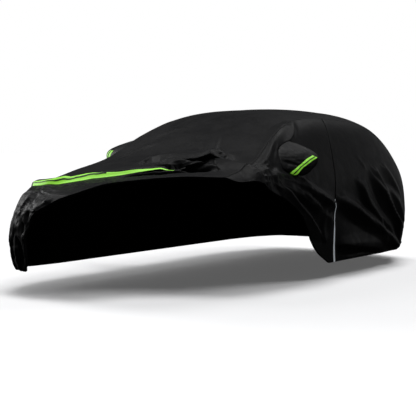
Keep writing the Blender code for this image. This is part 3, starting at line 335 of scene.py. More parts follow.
    Fold("corner fold 2", (0, 0.012, 0), (0.03, 0.03), 0.7, 1, 0.3,
         ((-0.38, -1.94, 0.84), (-0.21, -2.02, 0.82), (-0.09, -2.04, 0.82))),
    Fold("corner fold 3", (0, -0.016, 0), (0.03, 0.03), 0.7, 1, 0.3,
         ((-0.48, -1.98, 0.82), (-0.43, -1.98, 0.82), (-0.31, -1.90, 0.86))),
    Fold("edge blot 1", (0, -0.024, 0), (0.035, 0.035), 0.7, 1, 0.3,
         ((-0.31, -1.90, 0.86), (-0.21, -1.92, 0.86), (-0.11, -1.87, 0.87)), (0, -0.5, 0)),
    Fold("edge blot 2", (0, -0.020, 0), (0.03, 0.03), 0.7, 1, 0.3,
         ((-0.11, -1.87, 0.87), (-0.05, -1.88, 0.87), (0.01, -1.84, 0.88)), (0, -0.5, 0)),
    Fold("edge blot 3", (0, -0.022, 0), (0.03, 0.03), 0.7, 1, 0.3,
         ((-0.06, -1.62, 0.91), (0.0, -1.68, 0.90), (0.06, -1.69, 0.90)), (0, -0.5, 0)),
    Fold("edge blot 4", (0, -0.022, 0), (0.03, 0.03), 0.7, 1, 0.3,
         ((0.03, -1.56, 0.92), (0.06, -1.60, 0.91), (0.13, -1.60, 0.91)), (0, -0.5, 0)),
    Fold("right wedge 1", (0, 0.022, 0.030, 0.030, 0.020, 0),
         (0.04, 0.09, 0.12, 0.12, 0.10, 0.04), 0.5, -1, STRAIGHT,
         ((-0.92, 0.30, 0.84), (-0.925, 0.48, 0.74), (-0.93, 0.70, 0.62), (-0.92, 0.95, 0.48),
          (-0.91, 1.20, 0.36), (-0.88, 1.46, 0.24))),
    Fold("right wedge 2", (0, 0.022, 0.032, 0.032, 0.020, 0),
         (0.03, 0.08, 0.12, 0.13, 0.10, 0.04), 0.5, -1, STRAIGHT,
         ((-0.90, 0.90, 0.96), (-0.91, 1.02, 0.84), (-0.91, 1.18, 0.68), (-0.89, 1.38, 0.50),
          (-0.85, 1.58, 0.34), (-0.80, 1.76, 0.22))),
    Fold("right sag", (0, 0.010, 0.012, 0), (0.12, 0.10), 0.4, -1, 0.4,
         ((-0.92, -0.60, 0.60), (-0.93, -0.25, 0.50), (-0.93, 0.15, 0.48), (-0.92, 0.50, 0.56))),
    Fold("tail sag", (0, 0.012, 0.014, 0.012, 0), (0.14, 0.12), 0.4, 1, 0.4,
         ((-0.50, 2.07, 0.86), (-0.25, 2.15, 0.77), (0.0, 2.19, 0.74), (0.25, 2.16, 0.77),
          (0.50, 2.08, 0.87))),
    Fold("tail drop left", (0, 0.020, 0.026, 0.018), (0.11, 0.10), 0.5, 1, 0.3,
         ((0.46, 2.10, 0.80), (0.50, 2.15, 0.58), (0.56, 2.13, 0.38), (0.62, 2.05, 0.18))),
    Fold("tail drop right", (0, 0.020, 0.026, 0.018), (0.11, 0.10), 0.5, -1, 0.3,
         ((-0.40, 2.13, 0.80), (-0.46, 2.17, 0.58), (-0.54, 2.14, 0.38), (-0.60, 2.06, 0.18))),
    Fold("pocket crease", (0, -0.012, -0.014, -0.012, 0), (0.03, 0.03), 0.8, 1, 0.3,
         ((0.84, -0.52, 1.05), (0.88, -0.48, 1.04), (0.95, -0.42, 1.02), (1.00, -0.38, 1.02),
          (1.05, -0.34, 1.01))),
)

# Crumpled places: their middle, how far they reach, and how deep and how long their dents are
Crumple = namedtuple("Crumple", "name middle reach depth size")
CRUMPLES = (
    Crumple("front corner", (-0.36, -2.14, 0.66), 0.42, 0.010, 0.06),
    Crumple("corner foot", (-0.52, -2.14, 0.34), 0.30, 0.009, 0.07),
    Crumple("bonnet edge", (-0.10, -1.75, 0.88), 0.40, 0.006, 0.05),
    Crumple("middle of the edge", (0.25, -1.38, 0.94), 0.35, 0.005, 0.06),
    Crumple("bonnet folds", (0.45, -1.05, 1.0), 0.40, 0.004, 0.09),
    Crumple("knot", (0.90, -0.78, 0.95), 0.26, 0.010, 0.09),
    Crumple("door", (0.93, -0.25, 0.70), 0.50, 0.005, 0.09),
    Crumple("hem", (0.92, 0.70, 0.25), 0.60, 0.002, 0.10),
    Crumple("pocket", (1.00, -0.40, 1.05), 0.30, 0.005, 0.06),
)
COARSE_SEED, FINE_SEED = 10, 40  # of the first crumpled place's dents, and 1 more for each place
FINER = 2.3  # how many times smaller the fine dents are
DENT_MEAN = 0.75
RIPPLES = ((1, 0.35, 3), (0.5, 0.13, 4))  # share, size and seed of the soft waves all over
TAPE_STIFF = 0.75  # share of the crumples and creases that the sewn-on front tape keeps out

# The cloth stands up behind the front tape, over this much of its line, and less towards both ends
BUNCH = Fold("bunch", (0.022, 0.048, 0.042, 0.030), (0.34, 0.30), 0.14, -1, 1.0, None)
BUNCH_ACROSS = (-1.0, -0.8, -0.6, -0.45, -0.3, -0.2, -0.1, 0.0, 0.12, 0.25)

# Mirror pockets: the stations and girths of a side that each one covers, and how far its tip stands
# out, back and up from them. The foot of the tip hangs lower by droop and stands out less by the share
# tuck, and a larger foot is fuller. The tape's two edges are lines of places, as shares of the pocket
# along the cover and up. hand is 1 on the left.
Pocket = namedtuple("Pocket", "name hand stations girths out back rise droop tuck foot inner outer")
POCKETS = (
    Pocket("left", 1, (5.80, 6.47), (2.12, 2.65), 0.24, 0.055, -0.06, 0.11, 0.35, 2.2,
           ((0.43, 0.02), (0.36, 0.11), (0.335, 0.20), (0.345, 0.32), (0.368, 0.444), (0.386, 0.556),
            (0.421, 0.667), (0.474, 0.759), (0.596, 0.82)),
           ((0.62, 0.05), (0.56, 0.12), (0.50, 0.22), (0.47, 0.32), (0.474, 0.42), (0.49, 0.52),
            (0.53, 0.62), (0.60, 0.71), (0.72, 0.78))),
    Pocket("right", -1, (5.72, 6.35), (2.05, 2.72), 0.36, -0.02, -0.06, 0, 0, 1.6,
           ((0.30, 0.25), (0.28, 0.45), (0.28, 0.62), (0.30, 0.80)),
           ((0.46, 0.25), (0.46, 0.45), (0.46, 0.62), (0.46, 0.80))),
)
POCKET_ROUND = 0.75
POCKET_PEAK = (0.50, 0.45)  # place of the outermost point, from -1 to 1 along the cover and up
POCKET_ENDS = (1.7, 3.0)  # how full a pocket is in front of its outermost point, and behind it
POCKET_HEAD = 2.6  # and above it
POCKET_LEAN = 0.05  # how much further back the top of the tip is than its middle
POCKET_CELLS = 56
POCKET_STRIPE = (0.38, 0.60)  # shares of the tape's width that its grey stripe lies between
POCKET_FADE = 1.8  # the cloth's grid is bent round a pocket out to this many half widths

# Flat cuts of the cloth pieces: width, length and area
Cut = namedtuple("Cut", "width length area")

# Studio
FLOOR_SIZE = 60.0
LIGHT_WIDTH = 25.0  # how wide each light looks, in degrees
LIGHTS = (  # name, height above level and turn from the cover's left, in degrees, and strength
    ("overhead", 90, 0, 1.45),
    ("high left", 64, 0, 0.90),
    ("high rear", 50, 90, 0.45),
    ("high right", 50, 180, 0.35),
    ("low right", 20, 180, 1.30),
    ("low rear left", 5, 60, 0.08),
    ("low rear", 5, 90, 0.05),
)
CAMERA_PLACE = (5.4437, -7.9282, -0.1232)
CAMERA_YAW = 35.66
CAMERA_PITCH = 4.36
CAMERA_ROLL = 0.68
SENSOR = 36.0
LENS = 92.72


# ---------------------------------------------------------------------- curves and surfaces


def hermite(start, end, leave, arrive, u):
    """A cubic from start to end, with the given end slopes."""
    return (
        (2 * u**3 - 3 * u**2 + 1) * start
        + (u**3 - 2 * u**2 + u) * leave
        + (3 * u**2 - 2 * u**3) * end
        + (u**3 - u**2) * arrive
    )


def through(points, at):
    """A smooth curve through points, (points, 3) or (samples, points, 3), with at counting the points.

    The slope at a point is the mean of those of its two chords, weighted by the other chord's length.
    """
    points = np.broadcast_to(points, (len(at),) + np.shape(points)[-2:])
    chord = np.diff(points, axis=1)
    length = np.maximum(np.linalg.norm(chord, axis=2, keepdims=True), 1e-6)
    slope = chord / length
    inner = slope[:, :-1] * length[:, 1:] + slope[:, 1:] * length[:, :-1]
    inner /= length[:, :-1] + length[:, 1:]
    first = 1.5 * slope[:, :1] - 0.5 * inner[:, :1]
    last = 1.5 * slope[:, -1:] - 0.5 * inner[:, -1:]
    slopes = np.concatenate([first, inner, last], axis=1)
    index = np.clip(at.astype(int), 0, points.shape[1] - 2)
    row = np.arange(len(at))
    reach = length[row, index]
    leave = reach * slopes[row, index]
    arrive = reach * slopes[row, index + 1]
    return hermite(points[row, index], points[row, index + 1], leave, arrive, (at - index)[:, None])


def read_line(table, at):
    """The value of a line's table at each place, on a curve that doesn't overshoot its points."""
    place, value = np.array(table, float).T
    at = np.clip(at, place[0], place[-1])
    step = np.diff(place)
    slope = np.diff(value) / step
    product = slope[:-1] * slope[1:]
    total = np.where(product > 0, slope[:-1] + slope[1:], 1)
    inner = np.where(product > 0, 2 * product / total, 0)
    slopes = np.concatenate([slope[:1], inner, slope[-1:]])
    index = np.clip(np.searchsorted(place, at) - 1, 0, len(step) - 1)
    reach = step[index]
    u = (at - place[index]) / reach
    return hermite(value[index], value[index + 1], reach * slopes[index], reach * slopes[index + 1], u)


def column(name):
    return np.array([getattr(station, name) for station in STATIONS], float)


def crowned(rail, ridge, across):
    """A point of the top panel between its ridge and its rail."""
    across = np.asarray(across)
    x = rail[..., 0] * across
    y = ridge[..., 1] + (rail[..., 1] - ridge[..., 1]) * across**2
    z = ridge[..., 2] + (rail[..., 2] - ridge[..., 2]) * np.abs(across) ** CROWN
    return np.stack([x, y, z], axis=-1)


def plain_side(station, girth):
    """The left side without its folds: curves along the stations, joined by a curve up the girth."""
    station, girth = np.broadcast_arrays(np.asarray(station, float), np.asarray(girth, float))
    at = station.ravel()
    lines = [through(column(name), at) for name in ("hem", "bulge", "belt", "rail")]
    ridge = through(column("ridge"), np.maximum(at, RIDGE_START))
    lines.append(crowned(lines[RAIL], ridge, TURN_IN))
    return through(np.stack(lines, axis=1), girth.ravel()).reshape(station.shape + (3,))


def top(row, across):
    """The top panel without its folds. Past the last station it runs down the rear face to the hem."""
    row, across = np.broadcast_arrays(np.asarray(row, float), np.asarray(across, float))
    at = row.ravel()
    over = through(column("rail"), np.minimum(at, LAST))
    down = plain_side(np.full(len(at), LAST), RAIL - np.maximum(at - LAST, 0))
    rail = np.where((at <= LAST)[:, None], over, down)
    rear = STATIONS[LAST]
    face = np.array([(0, y + FACE_BULGE, z) for _, y, z in (rear.belt, rear.bulge, rear.hem)])
    ridge = through(np.concatenate([column("ridge"), face]), at)
    return crowned(rail, ridge, across.ravel()).reshape(row.shape + (3,))


def near(distance, reach):
    """1 at no distance, easing down to 0 at the reach."""
    share = np.clip(1 - distance / reach, 0, 1)
    return share * share * (3 - 2 * share)


def left_side(station, girth):
    """The left side, whose front end is eased onto the top panel's front border at the rail."""
    station, girth = np.broadcast_arrays(np.asarray(station, float), np.asarray(girth, float))
    on_front = np.minimum(station, FRONT_FACE)
    to_border = top(np.full_like(on_front, FRONT_FACE), on_front) - plain_side(on_front, RAIL)
    share = near(RAIL - girth, BORDER_EASE) * near(station - FRONT_FACE, STATION_EASE)
    return plain_side(station, girth) + to_border * share[..., None]


def unit(vectors):
    return vectors / np.maximum(np.linalg.norm(vectors, axis=-1, keepdims=True), 1e-9)


def outward(surface, first, second, sign):
    """The surface's normal, from steps of a thousandth along both of its numbers."""
    step = 1e-3
    along = surface(first + step, second) - surface(first - step, second)
    up = surface(first, second + step) - surface(first, second - step)
    return unit(sign * np.cross(along, up))


def side_patch(station, girth, hand):
    """Points of a side and the way its folds rise; hand is 1 for the left and -1 for the right.

    That way is the normal, turned near a seam towards the middle of both cloths' normals.
    """
    station, girth = np.broadcast_arrays(np.asarray(station, float), np.asarray(girth, float))
    own = outward(left_side, station, girth, 1)
    on_front = station < FRONT_FACE
    row = np.where(on_front, FRONT_FACE, np.minimum(station, LAST))
    rail_way = outward(top, row, np.where(on_front, station, 1.0), -1)
    rear_way = outward(top, LAST + RAIL - girth, np.ones_like(girth), -1)
    at_rail = near(RAIL - girth, STATION_EASE)[..., None]
    at_rear = near(LAST - station, STATION_EASE)[..., None]
    way = unit(own + at_rail * rail_way + (1 - at_rail) * at_rear * rear_way)
    flip = np.array([hand, 1, 1])
    return left_side(station, girth) * flip, way * flip


def top_patch(row, across):
    """Points of the top panel and the way its folds rise, as on a side."""
    row, across = np.broadcast_arrays(np.asarray(row, float), np.asarray(across, float))
    own = outward(top, row, across, -1)
    hand = np.where(across < 0, -1.0, 1.0)
    flip = np.stack([hand, np.ones_like(hand), np.ones_like(hand)], axis=-1)
    girth = RAIL - np.maximum(row - LAST, 0)
    side_way = outward(left_side, np.minimum(row, LAST), girth, 1) * flip
    front_way = outward(left_side, np.abs(across), np.full_like(across, RAIL), 1) * flip
    at_rail = near(1 - np.abs(across), SEAM_EASE)[..., None]
    at_front = (near(row - FRONT_FACE, STATION_EASE) * (across <= 0))[..., None]
    way = unit(own + at_rail * side_way + (1 - at_rail) * at_front * front_way)
    return top(row, across), way


def tape_top(across):
    """Row of the front tape's upper edge, which is TAPE_RUN from the lower one, square to it."""
    low = read_line(TAPE_LINE, across)
    step = 0.02
    ahead = np.clip(across + step, -1, 1)
    behind = np.clip(across - step, -1, 1)
    along = unit(top(read_line(TAPE_LINE, ahead), ahead) - top(read_line(TAPE_LINE, behind), behind))
    per_row = top(low + 0.5, across) - top(low - 0.5, across)
    square = per_row - along * np.sum(per_row * along, axis=1, keepdims=True)
    return low + TAPE_RUN / np.linalg.norm(square, axis=1)


# ---------------------------------------------------------------------- folds and crumples


def bunch_fold():
    across = np.array(BUNCH_ACROSS)
    return BUNCH._replace(path=top(tape_top(across), across))


def one_fold(flat, out, fold):
    """How far one fold lifts points, and which of them it reaches."""
    path = np.array(fold.path, float)
    crest = through(path, np.linspace(0, len(path) - 1, 4 * len(path)))
    reach = max(fold.wide)
    inside = np.all((flat > crest.min(0) - reach) & (flat < crest.max(0) + reach), axis=1)
    chosen = np.flatnonzero(inside)
    flat, out = flat[chosen], out[chosen]
    nearest = np.full(len(flat), np.inf)
    along = np.zeros(len(flat))
    on_left = np.zeros(len(flat))
    for index in range(len(crest) - 1):
        run = crest[index + 1] - crest[index]
        share = np.clip((flat - crest[index]) @ run / (run @ run), 0, 1)
        away = flat - crest[index] - share[:, None] * run
        distance = np.linalg.norm(away, axis=1)
        closer = distance < nearest
        nearest = np.where(closer, distance, nearest)
        along = np.where(closer, (index + share) / (len(crest) - 1), along)
        on_left = np.where(closer, np.sum(np.cross(out, run) * away, axis=1), on_left)
    wide, heights = np.array(fold.wide, float), np.atleast_1d(fold.height)
    width = np.interp(along * (len(wide) - 1), np.arange(len(wide)), wide)
    width = np.where(on_left * fold.lean > 0, width * fold.steep, width)
    peak = np.interp(along * (len(heights) - 1), np.arange(len(heights)), heights)
    away = np.clip(nearest / width, 0, 1)
    if fold.soft == STRAIGHT:
        return chosen, peak * (1 - away)
    return chosen, peak * (1 - away) ** 2 * (1 + 2 * fold.soft * away)


def lattice_noise(points, seed):
    """Smooth noise from -1 to 1: random values at whole places, eased between them."""
    values = np.random.default_rng(seed).uniform(-1, 1, (32, 32, 32))
    base = np.floor(points).astype(int)
    share = points - base
    share = share * share * (3 - 2 * share)
    total = np.zeros(len(points))
    for corner in np.ndindex(2, 2, 2):
        weight = np.prod(np.where(corner, share, 1 - share), axis=1)
        x, y, z = ((base + corner) % 32).T
        total += weight * values[x, y, z]
    return total


def crumpled(points, depth):
    """Dents with sharp ridges: noise folded at 0, which is deeper in the crumpled places."""
    height = sum(share * depth * lattice_noise(points / size, seed) for share, size, seed in RIPPLES)
    for number, place in enumerate(CRUMPLES):
        away = np.linalg.norm(points - place.middle, axis=1)
        chosen = np.flatnonzero(away < place.reach)
        spot = points[chosen]
        dents = 1 - 2 * np.abs(lattice_noise(spot / place.size, COARSE_SEED + number))
        dents += 0.5 - np.abs(lattice_noise(spot / place.size * FINER, FINE_SEED + number))
        height[chosen] += place.depth * near(away[chosen], place.reach) * (dents - DENT_MEAN)
    return height


def lifted(patch, settings, loose=None):
    """A patch with its folds, creases and crumples, of which a stiff place gets its share of loose."""
    points, ways = patch
    flat, out = points.reshape(-1, 3), ways.reshape(-1, 3)
    loose = np.ones(len(flat)) if loose is None else loose.ravel()
    moved = out * (crumpled(flat, settings.ripple) * loose)[:, None]
    for fold in FOLDS + (bunch_fold(),) + CREASES:
        chosen, rise = one_fold(flat, out, fold)
        if fold in CREASES:
            rise = rise * settings.crease_depth * (loose[chosen] if fold.push == (0, 0, 0) else 1)
        moved[chosen] += rise[:, None] * (out[chosen] + fold.push)
    return points + moved.reshape(points.shape)


# ---------------------------------------------------------------------- places of the panels' points


def split(values, times):
    """Each step of values cut into times equal steps."""
    index = np.arange((len(values) - 1) * times + 1) / times
    return np.interp(index, np.arange(len(values)), values)


def spaced_front():
    """Across of the top panel's front: even along its seam, and then along the drawn-back edge."""
    across = np.linspace(0, 1, 401)
    edge = top(read_line(TOP_FRONT_EDGE, across), across)
    run = np.concatenate([[0], np.cumsum(np.linalg.norm(np.diff(edge, axis=0), axis=1))])
    drawn_back = np.interp(np.linspace(0, run[-1], EDGE_LINES * FINE + 1), run, across)
    return np.concatenate([np.linspace(-1, 0, SEAM_LINES * FINE + 1)[:-1], drawn_back])


@functools.lru_cache(maxsize=None)
def top_places():
    """Row and across of the top panel's points, a line of points for each step back from the front."""
    front = spaced_front()
    straight = np.linspace(-1, 1, len(front))
    low, foot = (keep * front + (1 - keep) * straight for keep in SPACING_KEPT)
    stitches_or_weave_shade = [
        (read_line(TOP_FRONT_EDGE, front), front, EDGE_ROWS),
        (read_line(TAPE_LINE, low), low, TAPE_ROWS),
        (tape_top(low), low, BONNET_ROWS),
        (read_line(BONNET_LINE, foot), foot, SCREEN_ROWS),
        (np.full(len(front), JOIN_ROW), straight, ROOF_ROWS),
        (np.full(len(front), float(LAST)), straight, 0),
    ]
    rows, acrosses = [], []
    for here, beyond in zip(stitches_or_weave_shade[:-1], stitches_or_weave_shade[1:]):
        for share in np.arange(here[2] * FINE) / (here[2] * FINE):
            rows.append(here[0] + (beyond[0] - here[0]) * share)
            acrosses.append(here[1] + (beyond[1] - here[1]) * share)
    for girth in reversed(split(GIRTHS, FINE)):
        rows.append(np.full(len(front), LAST + RAIL - girth))
        acrosses.append(straight)
    return np.array(rows), np.array(acrosses)


def right_places(rows):
    """Station and girth of the right side's points, one line of points for each station."""
    girth = split(GIRTHS, FINE)
    front = np.linspace(0, 1, SEAM_LINES * FINE + 1)
    screen = split(rows[FOOT_LINE : JOIN_LINE + 1], 2)[1:]
    quarter = rows[JOIN_LINE + 1 : ROOF_LINE + 1]
    stations = np.concatenate([front, rows[1 : FOOT_LINE + 1], screen, quarter])
    shift = read_line(RIGHT_FRONT_EDGE, girth) - RIGHT_FRONT_EDGE[-1][1]
    fade = np.clip(1 - stations / FRONT_END, 0, 1)
    stations = stations[:, None] + shift[None, :] * fade[:, None]
    return stations, np.broadcast_to(girth, stations.shape)


def between(foot, head, fore, aft, along, up):
    """Points between four sides: foot and head run along, fore and aft up, and corners are shared."""
    u, v = along[:, None, None], up[None, :, None]
    foot, head, fore, aft = foot[:, None], head[:, None], fore[None], aft[None]
    low = (1 - u) * foot[0] + u * foot[-1]
    high = (1 - u) * head[0] + u * head[-1]
    return (1 - v) * (foot - low) + v * (head - high) + (1 - u) * fore + u * aft


def door_places(rows):
    """Station and girth of the door panel's points.

    Its head is the rail and its rear the upright seam. The drawn-back edge is its front down to
    DOOR_CORNER, then its foot, which ends on the hem.
    """
    girth = split(GIRTHS, 2 * FINE)
    head = np.stack([rows, np.full(len(rows), float(RAIL))], axis=1)
    aft = np.stack([read_line(UPRIGHT_SEAM, girth), girth], axis=1)
    fore_girth = np.linspace(DOOR_CORNER, RAIL, len(girth))
    fore = np.stack([read_line(LEFT_FRONT_EDGE, fore_girth), fore_girth], axis=1)
    share = (rows - rows[0]) / (rows[-1] - rows[0])
    foot_station = fore[0, 0] + (aft[0, 0] - fore[0, 0]) * share
    edge_girth = np.linspace(RAIL, HEM, 241)
    foot_girth = np.interp(foot_station, read_line(LEFT_FRONT_EDGE, edge_girth), edge_girth)
    foot = np.stack([foot_station, foot_girth], axis=1)
    places = between(foot, head, fore, aft, share, (fore_girth - DOOR_CORNER) / (RAIL - DOOR_CORNER))
    return places[..., 0], places[..., 1]


def quarter_places(rows):
    """Station and girth of the left rear panel's points."""
    girth = split(GIRTHS, 2 * FINE)
    share = (split(rows, 2) - rows[0]) / (rows[-1] - rows[0])
    start = read_line(UPRIGHT_SEAM, girth)
    stations = start[None, :] + (LAST - start)[None, :] * share[:, None]
    return stations, np.broadcast_to(girth, stations.shape)


def read_grid(grid, at, up):
    """A grid's values at fractions of its lines."""
    left = np.clip(np.floor(at).astype(int), 0, grid.shape[0] - 2)
    lower = np.clip(np.floor(up).astype(int), 0, grid.shape[1] - 2)
    extra = (1,) * (grid.ndim - 2)
    a, b = (at - left).reshape(at.shape + extra), (up - lower).reshape(up.shape + extra)
    low = grid[left, lower] * (1 - a) + grid[left + 1, lower] * a
    high = grid[left, lower + 1] * (1 - a) + grid[left + 1, lower + 1] * a
    return low * (1 - b) + high * b


def rounded_off(p, q):
    """A square from -1 to 1 with its sides bowed out and its corners drawn in."""
    return p * np.sqrt(1 - POCKET_ROUND * q**2 / 2), q * np.sqrt(1 - POCKET_ROUND * p**2 / 2)


def pocket_cells(stations, girths, pocket):
    """First and last line, and lowest and highest, of the solid's cells under a pocket."""
    station, girth = stations[::FINE, ::FINE], girths[::FINE, ::FINE]
    found = []
    for end in (0, 1):
        off = (station - pocket.stations[end]) ** 2 + (girth - pocket.girths[end]) ** 2
        found.append(np.array(np.unravel_index(np.argmin(off), off.shape)) * FINE)
    return found[0][0], found[1][0], found[0][1], found[1][1]


def bent_round(stations, girths, cells):
    """A side's places, bent so that the lines round a pocket's cells follow its rounded outline.

    Outside the outline, each point moves as the outline's point on the same ray does, less and less.
    """
    first, last, low, high = cells
    at, up = np.meshgrid(np.arange(stations.shape[0]), np.arange(stations.shape[1]), indexing="ij")
    p = (at - (first + last) / 2) / ((last - first) / 2)
    q = (up - (low + high) / 2) / ((high - low) / 2)
    out = np.maximum(np.maximum(np.abs(p), np.abs(q)), 1)
    fade = np.clip((POCKET_FADE - out) / (POCKET_FADE - 1), 0, 1) ** 2
    on_p, on_q = rounded_off(p / out, q / out)
    p = p + (on_p - p / out) * fade
    q = q + (on_q - q / out) * fade
    at = (first + last) / 2 + (last - first) / 2 * p
    up = (low + high) / 2 + (high - low) / 2 * q
    return read_grid(stations, at, up), read_grid(girths, at, up)


# ---------------------------------------------------------------------- meshes


def flat_places(points):
    """Each point's place on the cloth laid flat: how far along and up its lines it is."""
    flat = np.zeros(points.shape[:2] + (2,))
    flat[1:, :, 0] = np.cumsum(np.linalg.norm(np.diff(points, axis=0), axis=2), axis=0)
    flat[:, 1:, 1] = np.cumsum(np.linalg.norm(np.diff(points, axis=1), axis=2), axis=1)
    return flat


def grid_faces(number):
    """The corners of each cell of a grid of point numbers."""
    return np.stack([number[:-1, :-1], number[1:, :-1], number[1:, 1:], number[:-1, 1:]], axis=-1)


def square_to(vectors, ways):
    """Unit vectors along the part of the vectors that is square to the ways."""
    return unit(vectors - ways * np.sum(vectors * ways, axis=1, keepdims=True))


class Cloth:
    """A grid of points with some cells left out, and edges that are rolled in."""

    def __init__(self, points, ways):
        self.points = points.copy()
        self.ways = ways
        self.keep = np.ones((points.shape[0] - 1, points.shape[1] - 1), bool)
        self.edges = []
        self.flat = flat_places(points)
        self.sewing = np.full(points.shape[:2] + (2,), 1.0)

    def read(self, at, up):
        """Points and normals at fractions of the grid's lines."""
        ways = grid_normals(self.points, self.ways)
        return tuple(read_grid(grid, at, up) for grid in (self.points, ways))

    def side(self, axis, end, radius, turn, gap=0.0, part=slice(None)):
        """Roll one side of the grid: axis 0 has the first and last line, axis 1 the foot and head.

        The border is pulled in by its roll and half the gap, and the edge is noted.
        """
        run = np.arange(self.points.shape[1 - axis])[part]
        fixed = np.full(len(run), end)
        beside = fixed + (1 if end == 0 else -1)
        where, inner = ((fixed, run), (beside, run)) if axis == 0 else ((run, fixed), (run, beside))
        self.note_sewing(axis, end, part)
        inward = square_to(unit(self.points[inner] - self.points[where]), self.ways[where])
        self.points[where] += inward * (gap / 2 + radius)
        self.edges.append((where, inward, radius, turn))

    def note_sewing(self, axis, end, part):
        """Keep each point's distance from its nearest edge, and the run along that edge."""
        off = self.flat[..., axis]
        total = off[-1:] if axis == 0 else off[:, -1:]
        distance = off if end == 0 else total - off
        run = np.broadcast_to(self.flat[..., 1 - axis], distance.shape)
        lines = np.zeros(distance.shape, bool)
        lines[(slice(None), part) if axis == 0 else part] = True
        nearer = lines & (distance < self.sewing[..., 0])
        self.sewing[nearer] = np.stack([distance, run], axis=-1)[nearer]

    def build(self, name, slot, thickness):
        """The cloth as an object. Each edge rolls a quarter turn under and then runs on straight."""
        number = np.arange(self.points[..., 0].size).reshape(self.points.shape[:2])
        own = (self.points, self.ways, self.flat, self.sewing)
        grids = [[grid.reshape(-1, grid.shape[-1])] for grid in own]
        faces = [grid_faces(number)[self.keep].reshape(-1, 4)]
        total = number.size
        for where, inward, radius, turn in self.edges:
            before = number[where]
            edge, way = self.points[where], self.ways[where]
            for angle, extra in ((45, 0), (90, 0), (90, turn - radius)):
                bend = np.radians(angle)
                drop = radius * (1 - np.cos(bend)) + extra
                rolled = edge - inward * radius * np.sin(bend) - way * drop
                added = (rolled, way - inward * 0.5, self.flat[where], self.sewing[where])
                for grid, part in zip(grids, added):
                    grid.append(part)
                after = total + np.arange(len(edge))
                total += len(edge)
                faces.append(np.stack([before[:-1], before[1:], after[1:], after[:-1]], axis=1))
                before = after
        points, ways, flat, sewing = (np.concatenate(grid) for grid in grids)
        faces = np.concatenate([facing(points, part, ways) for part in faces])
        return solid_cloth(name, points, faces, flat, sewing, slot, thickness)


def facing(points, faces, ways):
    """The faces, turned round if most of them face against their points' ways."""
    a, b, c, d = (points[faces[:, k]] for k in range(4))
    normal = np.cross(c - a, d - b)
    if np.sum(np.sign(np.sum(normal * ways[faces[:, 0]], axis=1))) < 0:
        return faces[:, ::-1]
    return faces


def mesh_object(name, points, faces, slot):
    """An object at the frame's origin, with its place in its mesh, and the points that it uses."""
    used, faces = np.unique(faces, return_inverse=True)
    mesh = bpy.data.meshes.new(name)
    mesh.from_pydata((points[used] + (0, 0, GROUND)).tolist(), [], faces.reshape(-1, 4).tolist())
    mesh.shade_smooth()
    mesh.materials.append(finishes()[slot])
    piece = bpy.data.objects.new(name, mesh)
    bpy.context.scene.collection.objects.link(piece)
    return piece, used


def add_flat_map(mesh, flat):
    """The cloth's own flat place in metres, as its UV map."""
    corners = np.zeros(len(mesh.loops), int)
    mesh.loops.foreach_get("vertex_index", corners)
    layer = mesh.uv_layers.new(name="flat")
    layer.data.foreach_set("uv", flat[corners].astype(np.float32).ravel())


def solid_cloth(name, points, faces, flat, sewing, slot, thickness, offset=-1):
    """A sheet with Solidify, its flat map, and its sewing's distance and run as attributes."""
    piece, used = mesh_object(name, points, faces, slot)
    add_flat_map(piece.data, flat[used])
    for part, label in enumerate(SEWING):
        attribute = piece.data.attributes.new(label, "FLOAT", "POINT")
        attribute.data.foreach_set("value", sewing[used, part].astype(np.float32))
    solid = piece.modifiers.new("Cloth", "SOLIDIFY")
    solid.thickness = thickness
    solid.offset = offset
    return piece


def strip(name, points, ways, lift, thickness, slot):
    """A tape on the cloth: the cloth's own points, lifted along its normals."""
    base = points + ways * lift
    flat = flat_places(base)
    edge = np.minimum(flat[..., 0], flat[-1:, :, 0] - flat[..., 0])
    sewing = np.stack([edge, flat[..., 1]], axis=-1).reshape(-1, 2)
    faces = grid_faces(np.arange(edge.size).reshape(edge.shape)).reshape(-1, 4)
    base = base.reshape(-1, 3)
    faces = facing(base, faces, ways.reshape(-1, 3))
    return solid_cloth(name, base, faces, flat.reshape(-1, 2), sewing, slot, thickness, 1)


def grid_normals(points, like):
    """Normals of a grid, on the same side as the given ways."""
    normals = unit(np.cross(np.gradient(points, axis=0), np.gradient(points, axis=1)))
    same = np.sign(np.sum(normals * like, axis=-1, keepdims=True))
    return normals * np.where(same == 0, 1, same)


# ---------------------------------------------------------------------- mirror pockets


def ring(shape):
    """Grid places round the border of a grid, back to the first."""
    last, high = shape[0] - 1, shape[1] - 1
    along = [(i, 0) for i in range(last)] + [(last, j) for j in range(high)]
    back = [(i, high) for i in range(last, 0, -1)] + [(0, j) for j in range(high, 0, -1)]
    places = np.array(along + back + [(0, 0)])
    return places[:, 0], places[:, 1]


def open_under(cloth, cells):
    """Open a side under its pocket, and give the outline that the pocket is sewn to."""
    first, last, low, high = cells
    shape = (last - first + 1, high - low + 1)
    border = ring(shape)
    where = (border[0] + first, border[1] + low)
    outline, out = cloth.points[where].copy(), cloth.ways[where]
    inward = square_to(unit(outline[:-1].mean(axis=0) - outline), out)
    cloth.keep[first:last, low:high] = False
    cloth.points[where] -= inward * (SEAM_GAP / 2 + SEAM_ROUND)
    cloth.edges.append((where, -inward, SEAM_ROUND, SEAM_TURN))
    return shape, outline, out, inward


def sides_of(border, shape):
    """A ring's foot, head, fore and aft."""
    last, high = shape[0] - 1, shape[1] - 1
    foot = border[: last + 1]
    aft = border[last : last + high + 1]
    head = border[last + high : 2 * last + high + 1][::-1]
    fore = border[2 * last + high :][::-1]
    return foot, head, fore, aft


def read_side(line, share):
    own = np.linspace(0, 1, len(line))
    return np.stack([np.interp(share, own, axis) for axis in line.T], axis=1)


def patch_between(border, shape, along, up):
    """Points inside a border, which is read at the given shares of its sides' lengths."""
    foot, head, fore, aft = sides_of(border, shape)
    level = read_side(foot, along), read_side(head, along)
    return between(*level, read_side(fore, up), read_side(aft, up), along, up)


